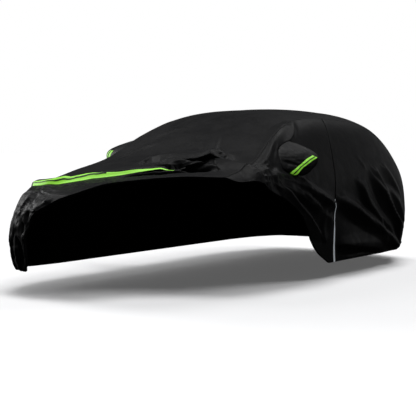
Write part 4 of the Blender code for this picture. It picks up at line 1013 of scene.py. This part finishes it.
def swell(place, peak, before, after):
    """Rise from 0 at -1 to 1 at the peak and back to 0 at 1, rounded more with a larger power."""
    share = np.where(place < peak, (place + 1) / (peak + 1), (1 - place) / (1 - peak))
    return 1 - (1 - np.clip(share, 0, 1)) ** np.where(place < peak, before, after)


def pocket_cloth(pocket, outline, settings):
    """A pocket's cloth, sewn to its outline in the side."""
    shape, edge, out, inward = outline
    hand = pocket.hand
    along = up = np.linspace(0, 1, POCKET_CELLS + 1)
    base = patch_between(edge, shape, along, up)
    p, q = (2 * along - 1)[:, None], (2 * up - 1)[None, :]
    length = swell(p, POCKET_PEAK[0], *POCKET_ENDS)
    height = swell(q, POCKET_PEAK[1], pocket.foot, POCKET_HEAD)
    back = pocket.back + POCKET_LEAN * q
    rise = pocket.rise - pocket.droop * (1 - q) / 2
    out_here = hand * pocket.out * (1 - pocket.tuck * (1 - q) / 2)
    tip = np.stack(np.broadcast_arrays(out_here, back, rise), axis=-1)
    points = base + (length * height)[..., None] * tip
    like = np.broadcast_to(np.array([hand, 0, 0.2]), points.shape)
    ways = grid_normals(points, like)
    fade = 1 - np.maximum(near(1 - np.abs(p), SEAM_EASE), near(1 - np.abs(q), SEAM_EASE))
    folded = points + ways * pocket_creases(points, ways, settings)[..., None] * fade[..., None]
    cloth = Cloth(folded, ways)
    border = ring(points.shape[:2])
    way = patch_between(out, shape, along, up)[border]
    draw = patch_between(inward, shape, along, up)[border]
    cloth.ways[border] = unit(way)
    cloth.points[border] += unit(draw) * (SEAM_GAP / 2 + SEAM_ROUND)
    cloth.edges.append((border, unit(draw), SEAM_ROUND, SEAM_TURN))
    return cloth


def pocket_band(cloth, pocket, low, high, lines):
    """Points and normals of a pocket's cloth between two shares of its tape's width."""
    at = np.linspace(0, 1, 65)
    lines_of_tape = (np.array(line) for line in (pocket.inner, pocket.outer))
    inner, outer = (through(line, at * (len(line) - 1)) for line in lines_of_tape)
    share = np.linspace(low, high, lines)[:, None, None]
    place = (inner + (outer - inner) * share) * POCKET_CELLS
    return cloth.read(place[..., 0], place[..., 1])


def pocket_creases(points, ways, settings):
    flat, out = points.reshape(-1, 3), ways.reshape(-1, 3)
    height = crumpled(flat, settings.ripple)
    for fold in CREASES:
        if fold.name.startswith("pocket"):
            chosen, rise = one_fold(flat, out, fold)
            height[chosen] += rise
    return height.reshape(points.shape[:-1])


# ---------------------------------------------------------------------- the cover's cloth


@functools.lru_cache(maxsize=None)
def top_cloth(settings):
    """The top panel's cloth with its edges rolled in, which is stiffer under the front tape."""
    rows, across = top_places()
    patch = top_patch(rows, across)
    line, place = np.meshgrid(np.arange(rows.shape[0]), np.arange(rows.shape[1]), indexing="ij")
    middle, half = (EDGE_ROWS + TAPE_ROWS / 2) * FINE, TAPE_ROWS / 2 * FINE
    away = np.maximum(np.abs(line - middle) - half, place - FRONT_TAPE_END)
    loose = 1 - TAPE_STIFF * near(np.maximum(away, 0), FINE)
    cloth = Cloth(lifted(patch, settings, loose), patch[1])
    turn = SEAM_LINES * FINE
    cloth.side(1, 0, *SEAM)
    cloth.side(1, -1, *SEAM)
    cloth.side(0, 0, *SEAM, part=slice(0, turn + 1))
    cloth.side(0, 0, *FREE_EDGE, part=slice(turn, None))
    cloth.side(0, -1, *FREE_EDGE)
    return cloth


def front_band(cloth, low, high, end):
    """Points and normals of the top panel between two shares of the front tape's width.

    What of the tape shows gets narrower towards its left end, where a fold lies over it.
    """
    lines = np.arange(1.0, end + 1)
    shown = np.interp(lines, *FRONT_TAPE_SHOWN)
    share = np.linspace(np.full_like(shown, low), np.minimum(high, shown), FRONT_BAND_LINES)
    rows = (EDGE_ROWS + TAPE_ROWS * share) * FINE
    return cloth.read(rows, np.broadcast_to(lines, rows.shape))


def side_cloth(places, hand, settings, rear, front, pocket=None):
    """A side's cloth with its edges rolled in, and its pocket's outline."""
    stations, girths = places
    cells = pocket_cells(stations, girths, pocket) if pocket else None
    if cells:
        stations, girths = bent_round(stations, girths, cells)
    patch = side_patch(stations, girths, hand)
    cloth = Cloth(lifted(patch, settings), patch[1])
    outline = open_under(cloth, cells) if cells else None
    for axis, end, edge in ((1, -1, SEAM), (0, -1, rear), (0, 0, front), (1, 0, FREE_EDGE)):
        cloth.side(axis, end, *edge)
    return cloth, outline


@functools.lru_cache(maxsize=None)
def right_cloth(settings):
    places = right_places(top_places()[0][:, 0])
    return side_cloth(places, -1, settings, SEAM, FREE_EDGE, POCKETS[1])


@functools.lru_cache(maxsize=None)
def door_cloth(settings):
    places = door_places(top_places()[0][: JOIN_LINE + 1, -1])
    return side_cloth(places, 1, settings, (GROOVE_ROUND, SEAM_TURN, GROOVE), FREE_EDGE, POCKETS[0])


def quarter_cloth(settings):
    places = quarter_places(top_places()[0][JOIN_LINE : ROOF_LINE + 1, -1])
    return side_cloth(places, 1, settings, SEAM, (GROOVE_ROUND, GROOVE_TURN, GROOVE))[0]


# ---------------------------------------------------------------------- materials


class Tree:
    """A node tree, with short ways to add to it. A value is a number, a colour or a node's output."""

    def __init__(self, tree):
        self.nodes, self.links = tree.nodes, tree.links

    def set(self, socket, value):
        if isinstance(value, bpy.types.NodeSocket):
            self.links.new(value, socket)
        else:
            socket.default_value = value

    def add(self, kind, inputs=(), **settings):
        """A node with its settings, and its inputs' values by label or number."""
        node = self.nodes.new("ShaderNode" + kind)
        for key, value in settings.items():
            setattr(node, key, value)
        for key, value in dict(inputs).items():
            self.set(node.inputs[key], value)
        return node

    def math(self, operation, *values):
        return self.add("Math", enumerate(values), operation=operation).outputs[0]

    def mixed(self, share, first, second):
        """A colour between two, by a share that changes over the surface."""
        return self.add("Mix", {0: share, 6: (*first, 1), 7: (*second, 1)}, data_type="RGBA").outputs[2]

    def bump(self, height, distance, strength, before=None):
        """A normal raised by a height, over the normal before it."""
        inputs = {"Distance": distance, "Strength": strength, "Height": height}
        if before is not None:
            inputs["Normal"] = before
        return self.add("Bump", inputs).outputs["Normal"]

    def seen_apart(self, lit, seen, output):
        """One shader for what the lens sees and another for what lights the cloth."""
        rays = self.add("LightPath").outputs["Is Camera Ray"]
        mix = self.add("MixShader", {0: rays, 1: lit, 2: seen})
        self.set(self.nodes[output].inputs["Surface"], mix.outputs[0])


def new_group(name, inputs, outputs):
    """A node group of numbers: its inputs with their defaults, and its outputs."""
    group = bpy.data.node_groups.new(name, "ShaderNodeTree")
    for label, value in inputs.items():
        socket = group.interface.new_socket(label, in_out="INPUT", socket_type="NodeSocketFloat")
        socket.default_value = value
    for label in outputs:
        group.interface.new_socket(label, in_out="OUTPUT", socket_type="NodeSocketFloat")
    given, out = group.nodes.new("NodeGroupInput"), group.nodes.new("NodeGroupOutput")
    return group, Tree(group), given.outputs, out.inputs


def weave_group():
    """Plain weave: threads both ways over the flat map, which pass over and under each other.

    Height is the larger of both threads' rounded backs, each a cosine across the thread whose middle
    rises and sinks by turns along it.
    """
    group, tree, given, out = new_group("plain_weave", {"Thread": 0.0009}, ["Height"])
    place = tree.add("SeparateXYZ", {0: tree.add("UVMap", uv_map="flat").outputs[0]}).outputs
    turns = [tree.math("DIVIDE", place[axis], given["Thread"]) for axis in (0, 1)]
    waves = []
    for across, along in (turns, turns[::-1]):
        back = tree.math("ABSOLUTE", tree.math("SINE", across))
        waves.append(tree.math("MULTIPLY_ADD", tree.math("SINE", along), WEAVE_DIP, back))
    tree.set(out["Height"], tree.math("MAXIMUM", *waves))
    return group


def stitch_group():
    """Two rows of stitches beside an edge: dashes along the run where the distance meets a row."""
    sizes = {"First": 0.008, "Second": 0.016, "Length": 0.006, "Width": 0.0012}
    group, tree, given, out = new_group("stitch_rows", sizes, ["Mask"])
    off, run = (tree.add("Attribute", attribute_name=label).outputs["Fac"] for label in SEWING)
    rows = []
    for label in ("First", "Second"):
        away = tree.math("ABSOLUTE", tree.math("SUBTRACT", off, given[label]))
        rows.append(tree.math("LESS_THAN", away, given["Width"]))
    share = tree.math("FRACT", tree.math("DIVIDE", run, given["Length"]))
    dash = tree.math("LESS_THAN", share, STITCH_SHARE)
    tree.set(out["Mask"], tree.math("MULTIPLY", tree.math("MAXIMUM", *rows), dash))
    return group


def wrinkle_group():
    """Soft wrinkles in the cloth: noise of two sizes on object places, the coarse one folded."""
    sizes = {"Size": 9.0, "Fine": 40.0}
    group, tree, given, out = new_group("soft_wrinkles", sizes, ["Height", "Patch"])
    place = tree.add("TexCoord").outputs["Object"]
    coarse, small = (
        tree.add("TexNoise", {"Vector": place, "Scale": given[label], "Detail": detail}).outputs[0]
        for label, detail in (("Size", 4.0), ("Fine", 2.0)))
    fold = tree.math("ABSOLUTE", tree.math("SUBTRACT", coarse, 0.5))
    tree.set(out["Height"], tree.math("MULTIPLY_ADD", small, FINE_WRINKLES, fold))
    tree.set(out["Patch"], coarse)
    return group


def new_material(name, colour, inputs):
    """A material, its tree and its shader, of which some inputs are the same all over."""
    made = bpy.data.materials.new(name)
    made.use_nodes = True
    made.diffuse_color = (*colour, 1)
    tree = Tree(made.node_tree)
    shader = tree.nodes["Principled BSDF"]
    for label, value in {"Metallic": 0, **inputs}.items():
        shader.inputs[label].default_value = value
    return made, tree, shader.inputs


def tinted(colour, share):
    return tuple(min(1.0, share * part) for part in colour)


def black_cloth(groups, dark):
    """Black woven polyester: a soft sheen that varies in patches, weave, wrinkles and stitching."""
    made, tree, shader = new_material("black_polyester", dark, {"Specular IOR Level": 0.105})
    wrinkles, stitches, weave = (tree.add("Group", node_tree=group).outputs for group in groups)
    patch = wrinkles["Patch"]
    tree.set(shader["Base Color"], tree.mixed(patch, dark, tinted(dark, PALE)))
    sheen = {"Value": patch, "From Min": 0.35, "From Max": 0.65, "To Min": 0.44, "To Max": 0.54}
    tree.set(shader["Roughness"], tree.add("MapRange", sheen).outputs[0])
    normal = tree.bump(wrinkles["Height"], 0.012, 0.35)
    normal = tree.bump(weave["Height"], 0.0002, 0.4, normal)
    tree.set(shader["Normal"], tree.bump(stitches["Mask"], 0.0008, 0.6, normal))
    return made


def tape_cloth(groups, name, colour, thread, depth, tint, rest, stitched=False):
    """Woven tape of a thread's width and depth, tinted along its stitches, or else by the weave's
    height: lighter thread tops over darker hollows, as painted shade.
    """
    made, tree, shader = new_material(name, colour, rest)
    _, stitches, weave = groups
    height = tree.add("Group", {"Thread": thread}, node_tree=weave).outputs["Height"]
    stitches_or_weave_shade = height
    if stitched:
        stitches_or_weave_shade = tree.add("Group", EDGE_STITCHES, node_tree=stitches).outputs["Mask"]
    # Without stitches the colour follows the weave's height: painted shade in the hollows between
    # threads, lighter on their tops.
    tree.set(shader["Base Color"], tree.mixed(stitches_or_weave_shade, colour, tinted(colour, tint)))
    tree.set(shader["Normal"], tree.bump(height, *depth))
    return made


def painted_glow_inputs(colour, strength, roughness):
    """Inputs of a bright tape or zip with a painted glow: it gives off a little of its own colour as
    emission, though it is no lamp.
    """
    return {"Roughness": roughness, "Emission Color": (*colour, 1), "Emission Strength": strength}


@functools.lru_cache(maxsize=None)
def finishes():
    """The four materials, made once."""
    colours = bpy.context.scene.car_cover_colours
    slots = ("cloth", "bright_tape", "grey_tape", "zip_grey")
    cloth, bright, grey, pale = (tuple(getattr(colours, slot)) for slot in slots)
    groups = wrinkle_group(), stitch_group(), weave_group()
    return {
        "cloth": black_cloth(groups, cloth),
        # The bright tape and the zip get a painted glow: emission that makes them brighter than the
        # lights leave them.
        "bright_tape": tape_cloth(groups, "bright_tape", bright, 0.0012, (0.0003, 0.5), 0.75,
                                  painted_glow_inputs(bright, colours.tape_glow, 0.5), stitched=True),
        "grey_tape": tape_cloth(groups, "grey_stripe", grey, 0.0016, (0.0002, 0.4), PALE,
                                {"Roughness": 0.5, "Specular IOR Level": 0.3}),
        # The zip and its teeth get a painted reflection: emission in place of the light a reflective
        # tape sends back.
        "zip": tape_cloth(groups, "zip_grey", pale, 0.0012, (0.0003, 0.5), 1.2,
                          painted_glow_inputs(pale, colours.zip_painted_glow, 0.4)),
    }


# ---------------------------------------------------------------------- settings and operators


Settings = namedtuple("Settings", "ripple crease_depth")


class CoverSizes(bpy.types.PropertyGroup):
    """Sizes of the cloth that a user may change."""

    cloth: bpy.props.FloatProperty(
        name="Cloth thickness", description="Thickness of the cloth", default=0.0015, min=0.0005,
        max=0.002, unit="LENGTH")
    tape: bpy.props.FloatProperty(
        name="Tape thickness", description="Thickness of the tapes", default=0.0008, min=0.0003,
        max=0.001, unit="LENGTH")
    ripple: bpy.props.FloatProperty(
        name="Ripple", description="Depth of the soft waves all over the cloth", default=0.0025,
        min=0, max=0.005, unit="LENGTH")
    crease_depth: bpy.props.FloatProperty(
        name="Crease depth", description="Share of the creases' depth", default=1.0, min=0, max=1.2,
        subtype="FACTOR")


class CoverColours(bpy.types.PropertyGroup):
    """Colours of the cover's materials."""

    cloth: bpy.props.FloatVectorProperty(
        name="Cloth", description="Colour of the cloth", default=(0.0068, 0.0068, 0.0072),
        subtype="COLOR")
    bright_tape: bpy.props.FloatVectorProperty(
        name="Bright tape", description="Colour of the fluorescent tape", default=(0.36, 0.92, 0.07),
        subtype="COLOR")
    grey_tape: bpy.props.FloatVectorProperty(
        name="Grey stripe", description="Colour of the reflective stripe", default=(0.02, 0.034, 0.02),
        subtype="COLOR")
    zip_grey: bpy.props.FloatVectorProperty(
        name="Zip", description="Colour of the zip", default=(0.80, 0.84, 0.90), subtype="COLOR")
    # Painted glow of the bright tape: emission, though the tape is no lamp.
    tape_glow: bpy.props.FloatProperty(
        name="Tape glow", description="Strength of the tape's own light", default=0.25, min=0, max=1)
    # Painted reflection of the zip: emission standing in for the light that its reflective tape sends
    # back.
    zip_painted_glow: bpy.props.FloatProperty(
        name="Zip glow", description="Light that the reflective zip sends back", default=0.12, min=0,
        max=1)


class StageSettings(bpy.types.PropertyGroup):
    """Light and floor of the studio."""

    light: bpy.props.FloatProperty(
        name="Light", description="Strength of all the lights", default=1.0, min=0, subtype="FACTOR")
    floor: bpy.props.FloatVectorProperty(
        name="Floor", description="Colour of the floor", default=(0.90, 0.90, 0.91), subtype="COLOR")


def cover_settings():
    sizes = bpy.context.scene.car_cover_sizes
    return Settings(round(sizes.ripple, 6), round(sizes.crease_depth, 4))


def finished(piece, node=None):
    """A piece rides with the frame and may take a node's place."""
    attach(piece, "root")
    if node:
        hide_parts(node)


def sewn_on(name, band, node, slot):
    """A tape on the cloth, or the grey stripe on such a tape."""
    thick = bpy.context.scene.car_cover_sizes.tape
    lift = STRIPE_LIFT + thick if slot == "grey_tape" else TAPE_LIFT
    finished(strip(name, *band, lift, thick, slot), node)


class CARCOVER_OT_make_panels(bpy.types.Operator):
    """Make the four sewn cloth panels"""

    bl_idname = "car_cover.make_panels"
    bl_label = "Make the cloth panels"

    def execute(self, context):
        settings = cover_settings()
        thickness = context.scene.car_cover_sizes.cloth
        panels = (
            ("top_cloth", "top_panel", top_cloth(settings)),
            ("right_side_cloth", "right_side_panel", right_cloth(settings)[0]),
            ("left_door_cloth", "left_door_panel", door_cloth(settings)[0]),
            ("left_rear_cloth", "left_rear_panel", quarter_cloth(settings)),
        )
        for name, node, cloth in panels:
            finished(cloth.build(name, "cloth", thickness), node)
        line, way, across, _ = seam_line(settings, RAIL)
        points = line + across * np.array([-1, 0, 1])[:, None, None] * BINDING[0]
        ways = np.broadcast_to(way, points.shape)
        finished(strip("upright_seam_binding", points, ways, -BINDING[1], thickness, "cloth"))
        return {"FINISHED"}


class CARCOVER_OT_make_pockets(bpy.types.Operator):
    """Make the mirror pockets and their tapes"""

    bl_idname = "car_cover.make_pockets"
    bl_label = "Make the mirror pockets"

    def execute(self, context):
        settings = cover_settings()
        thickness = context.scene.car_cover_sizes.cloth
        outlines = door_cloth(settings)[1], right_cloth(settings)[1]
        for pocket, outline in zip(POCKETS, outlines):
            cloth = pocket_cloth(pocket, outline, settings)
            name = "mirror_pocket_" + pocket.name
            finished(cloth.build(name + "_cloth", "cloth", thickness), name)
            tape = pocket_band(cloth, pocket, 0, 1, POCKET_BAND_LINES[0])
            stripe = pocket_band(cloth, pocket, *POCKET_STRIPE, POCKET_BAND_LINES[1])
            sewn_on("mirror_bright_tape_" + pocket.name, tape,
                    "mirror_tape_" + pocket.name, "bright_tape")
            sewn_on("mirror_grey_stripe_" + pocket.name, stripe,
                    "mirror_tape_stripe_" + pocket.name, "grey_tape")
        return {"FINISHED"}


class CARCOVER_OT_make_front_tape(bpy.types.Operator):
    """Make the bright tape over the bonnet, and its grey stripe"""

    bl_idname = "car_cover.make_front_tape"
    bl_label = "Make the front tape"

    def execute(self, context):
        cloth = top_cloth(cover_settings())
        sewn_on("front_bright_tape", front_band(cloth, 0, 1, FRONT_TAPE_END),
                "front_tape", "bright_tape")
        sewn_on("front_grey_stripe", front_band(cloth, *FRONT_STRIPE, FRONT_STRIPE_END),
                "front_tape_stripe", "grey_tape")
        return {"FINISHED"}


class CARCOVER_OT_make_zip(bpy.types.Operator):
    """Make the door zip: its tape and its teeth"""

    bl_idname = "car_cover.make_zip"
    bl_label = "Make the door zip"

    def execute(self, context):
        line, way, across, reach = seam_line(cover_settings(), ZIP_TOP)
        wide = ZIP_HALF_WIDTH * np.clip(ZIP_TAPER[0] - reach, ZIP_TAPER[1], 1)
        points = line + across * np.array(ZIP_LINES)[:, None, None] * wide[:, None]
        sewn_on("door_zip_tape", (points, np.broadcast_to(way, points.shape)), "door_zip", "zip")
        lift = TAPE_LIFT + context.scene.car_cover_sizes.tape
        finished(zip_teeth(line + way * lift, way, across))
        return {"FINISHED"}


def seam_line(settings, top_girth):
    """The upright seam's middle line from the hem to a girth, its ways out and across, and its run."""
    cloth = door_cloth(settings)[0]
    count = int(np.searchsorted(split(GIRTHS, 2 * FINE), top_girth))
    beside, edge = cloth.points[-2, :count], cloth.points[-1, :count]
    way = grid_normals(cloth.points, cloth.ways)[-2, :count]
    across = square_to(unit(edge - beside), way)
    return edge + across * (GROOVE_ROUND + GROOVE / 2), way, across, np.linspace(0, 1, count)


def zip_teeth(line, way, across):
    """Small blocks in turn on both sides of the zip's line, each a box of TOOTH's size."""
    run = np.concatenate([[0], np.cumsum(np.linalg.norm(np.diff(line, axis=0), axis=1))])
    places = np.arange(TOOTH_PITCH, run[-1], TOOTH_PITCH / 2)
    middle, out, side = (
        np.stack([np.interp(places, run, axis) for axis in part.T], axis=1)
        for part in (line, way, across)
    )
    along = unit(np.gradient(middle, axis=0))
    hand = np.where(np.arange(len(places)) % 2, 1.0, -1.0)[:, None]
    middle = middle + side * hand * TOOTH[0] * TOOTH_STEP
    corner = np.array([(x, y, z) for z in (0, 1) for x, y in SQUARE], float)
    points = (
        middle[:, None]
        + side[:, None] * corner[None, :, :1] * TOOTH[0] / 2
        + along[:, None] * corner[None, :, 1:2] * TOOTH[1] / 2
        + out[:, None] * corner[None, :, 2:] * TOOTH[2]
    )
    box = np.array([(0, 3, 2, 1), (4, 5, 6, 7), (0, 1, 5, 4), (1, 2, 6, 5), (2, 3, 7, 6), (3, 0, 4, 7)])
    faces = (box[None] + 8 * np.arange(len(places))[:, None, None]).reshape(-1, 4)
    inside_out = np.linalg.det(np.stack([side[0], along[0], out[0]])) < 0
    faces = faces[:, ::-1] if inside_out else faces
    piece, _ = mesh_object("door_zip_teeth", points.reshape(-1, 3), faces, "zip")
    piece.data.shade_flat()
    corners = np.zeros((len(points) * 8, 2))
    corners[:, 0] = np.repeat(places, 8)
    add_flat_map(piece.data, corners)
    return piece


# ---------------------------------------------------------------------- studio


class CARCOVER_OT_make_stage(bpy.types.Operator):
    """Make the floor, the lights, the backdrop and the camera"""

    bl_idname = "car_cover.make_stage"
    bl_label = "Make the studio"

    def execute(self, context):
        stage = context.scene.car_cover_stage
        studio_floor(tuple(stage.floor))
        backdrop()
        for name, height, turn, share in LIGHTS:
            soft_light(name, height, turn, share * stage.light)
        studio_camera()
        return {"FINISHED"}


def studio_floor(colour):
    """A pale floor, which the lens sees pale and the cloth hardly sees."""
    mesh = bpy.data.meshes.new("studio_floor")
    corners = [(x * FLOOR_SIZE / 2, y * FLOOR_SIZE / 2, GROUND) for x, y in SQUARE]
    mesh.from_pydata(corners, [], [(0, 1, 2, 3)])
    made, tree, _ = new_material("studio_floor", colour, {
        "Base Color": (*colour, 1), "Roughness": 0.9, "Specular IOR Level": 0.1,
        "Emission Color": (1, 1, 1, 1), "Emission Strength": 0.10})
    dim = tree.add("BsdfDiffuse", {"Color": (0.015, 0.015, 0.015, 1)})
    tree.seen_apart(dim.outputs[0], tree.nodes["Principled BSDF"].outputs[0], "Material Output")
    mesh.materials.append(made)
    floor = bpy.data.objects.new("studio_floor", mesh)
    bpy.context.scene.collection.objects.link(floor)
    return floor


def backdrop():
    """A white background, which lights the cloth only a little."""
    world = bpy.data.worlds.new("studio")
    bpy.context.scene.world = world
    bpy.context.scene.view_settings.view_transform = "Standard"
    world.use_nodes = True
    tree = Tree(world.node_tree)
    seen = tree.nodes["Background"]
    seen.inputs["Color"].default_value = (1, 1, 1, 1)
    seen.inputs["Strength"].default_value = 1.0
    fill = tree.add("Background", {"Color": (0.9, 0.95, 1, 1), "Strength": 0.03})
    tree.seen_apart(fill.outputs[0], seen.outputs[0], "World Output")


def stand(name, data, axes, place=(0, 0, 0)):
    """A light or a camera at a place, whose own axes point right, up and back."""
    matrix = np.eye(4)
    matrix[:3, :3] = np.stack(axes, axis=1)
    matrix[:3, 3] = place
    thing = bpy.data.objects.new(name, data)
    thing.matrix_world = Matrix(matrix.tolist())
    bpy.context.scene.collection.objects.link(thing)
    return thing


def soft_light(name, height, turn, strength):
    """A wide soft light from far off, at a height above level and turned from the cover's left side."""
    light = bpy.data.lights.new(name, "SUN")
    light.energy = strength
    light.angle = np.radians(LIGHT_WIDTH)
    height, turn = np.radians([height, turn])
    back = np.array([np.cos(height) * np.cos(turn), np.cos(height) * np.sin(turn), np.sin(height)])
    side = unit(np.array([-np.sin(turn), np.cos(turn), 0]))
    stand(name, light, (side, np.cross(back, side), back))


def studio_camera():
    """The camera, turned by its yaw, tipped down by its pitch and then rolled."""
    yaw, pitch, roll = np.radians([CAMERA_YAW, CAMERA_PITCH, CAMERA_ROLL])
    ahead = np.array([-np.sin(yaw) * np.cos(pitch), np.cos(yaw) * np.cos(pitch), -np.sin(pitch)])
    level = np.array([np.cos(yaw), np.sin(yaw), 0])
    upright = np.cross(level, ahead)
    right = np.cos(roll) * level + np.sin(roll) * upright
    up = np.cos(roll) * upright - np.sin(roll) * level
    lens = bpy.data.cameras.new("studio_camera")
    lens.sensor_width = SENSOR
    lens.lens = LENS
    bpy.context.scene.camera = stand("studio_camera", lens, (right, up, -ahead), CAMERA_PLACE)


OPERATORS = (
    CARCOVER_OT_make_panels,
    CARCOVER_OT_make_pockets,
    CARCOVER_OT_make_front_tape,
    CARCOVER_OT_make_zip,
    CARCOVER_OT_make_stage,
)


class CARCOVER_PT_cover(bpy.types.Panel):
    """The cover's settings and its operators"""

    bl_label = "Car cover"
    bl_idname = "CARCOVER_PT_cover"
    bl_space_type = "VIEW_3D"
    bl_region_type = "UI"
    bl_category = "Car cover"

    def draw(self, context):
        for name in ("car_cover_sizes", "car_cover_colours", "car_cover_stage"):
            settings = getattr(context.scene, name)
            for key in settings.__annotations__:
                self.layout.prop(settings, key)
        for operator in OPERATORS:
            self.layout.operator(operator.bl_idname)


GROUPS = {
    "car_cover_sizes": CoverSizes,
    "car_cover_colours": CoverColours,
    "car_cover_stage": StageSettings,
}


def register():
    for group in GROUPS.values():
        bpy.utils.register_class(group)
    for operator in OPERATORS + (CARCOVER_PT_cover,):
        bpy.utils.register_class(operator)
    for name, group in GROUPS.items():
        setattr(bpy.types.Scene, name, bpy.props.PointerProperty(type=group))


def unregister():
    for name in GROUPS:
        delattr(bpy.types.Scene, name)
    for known in (CARCOVER_PT_cover,) + OPERATORS[::-1] + tuple(GROUPS.values())[::-1]:
        bpy.utils.unregister_class(known)


def main():
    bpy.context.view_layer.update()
    register()
    bpy.ops.car_cover.make_panels()
    bpy.ops.car_cover.make_pockets()
    bpy.ops.car_cover.make_front_tape()
    bpy.ops.car_cover.make_zip()
    bpy.ops.car_cover.make_stage()


if __name__ == "__main__":
    main()
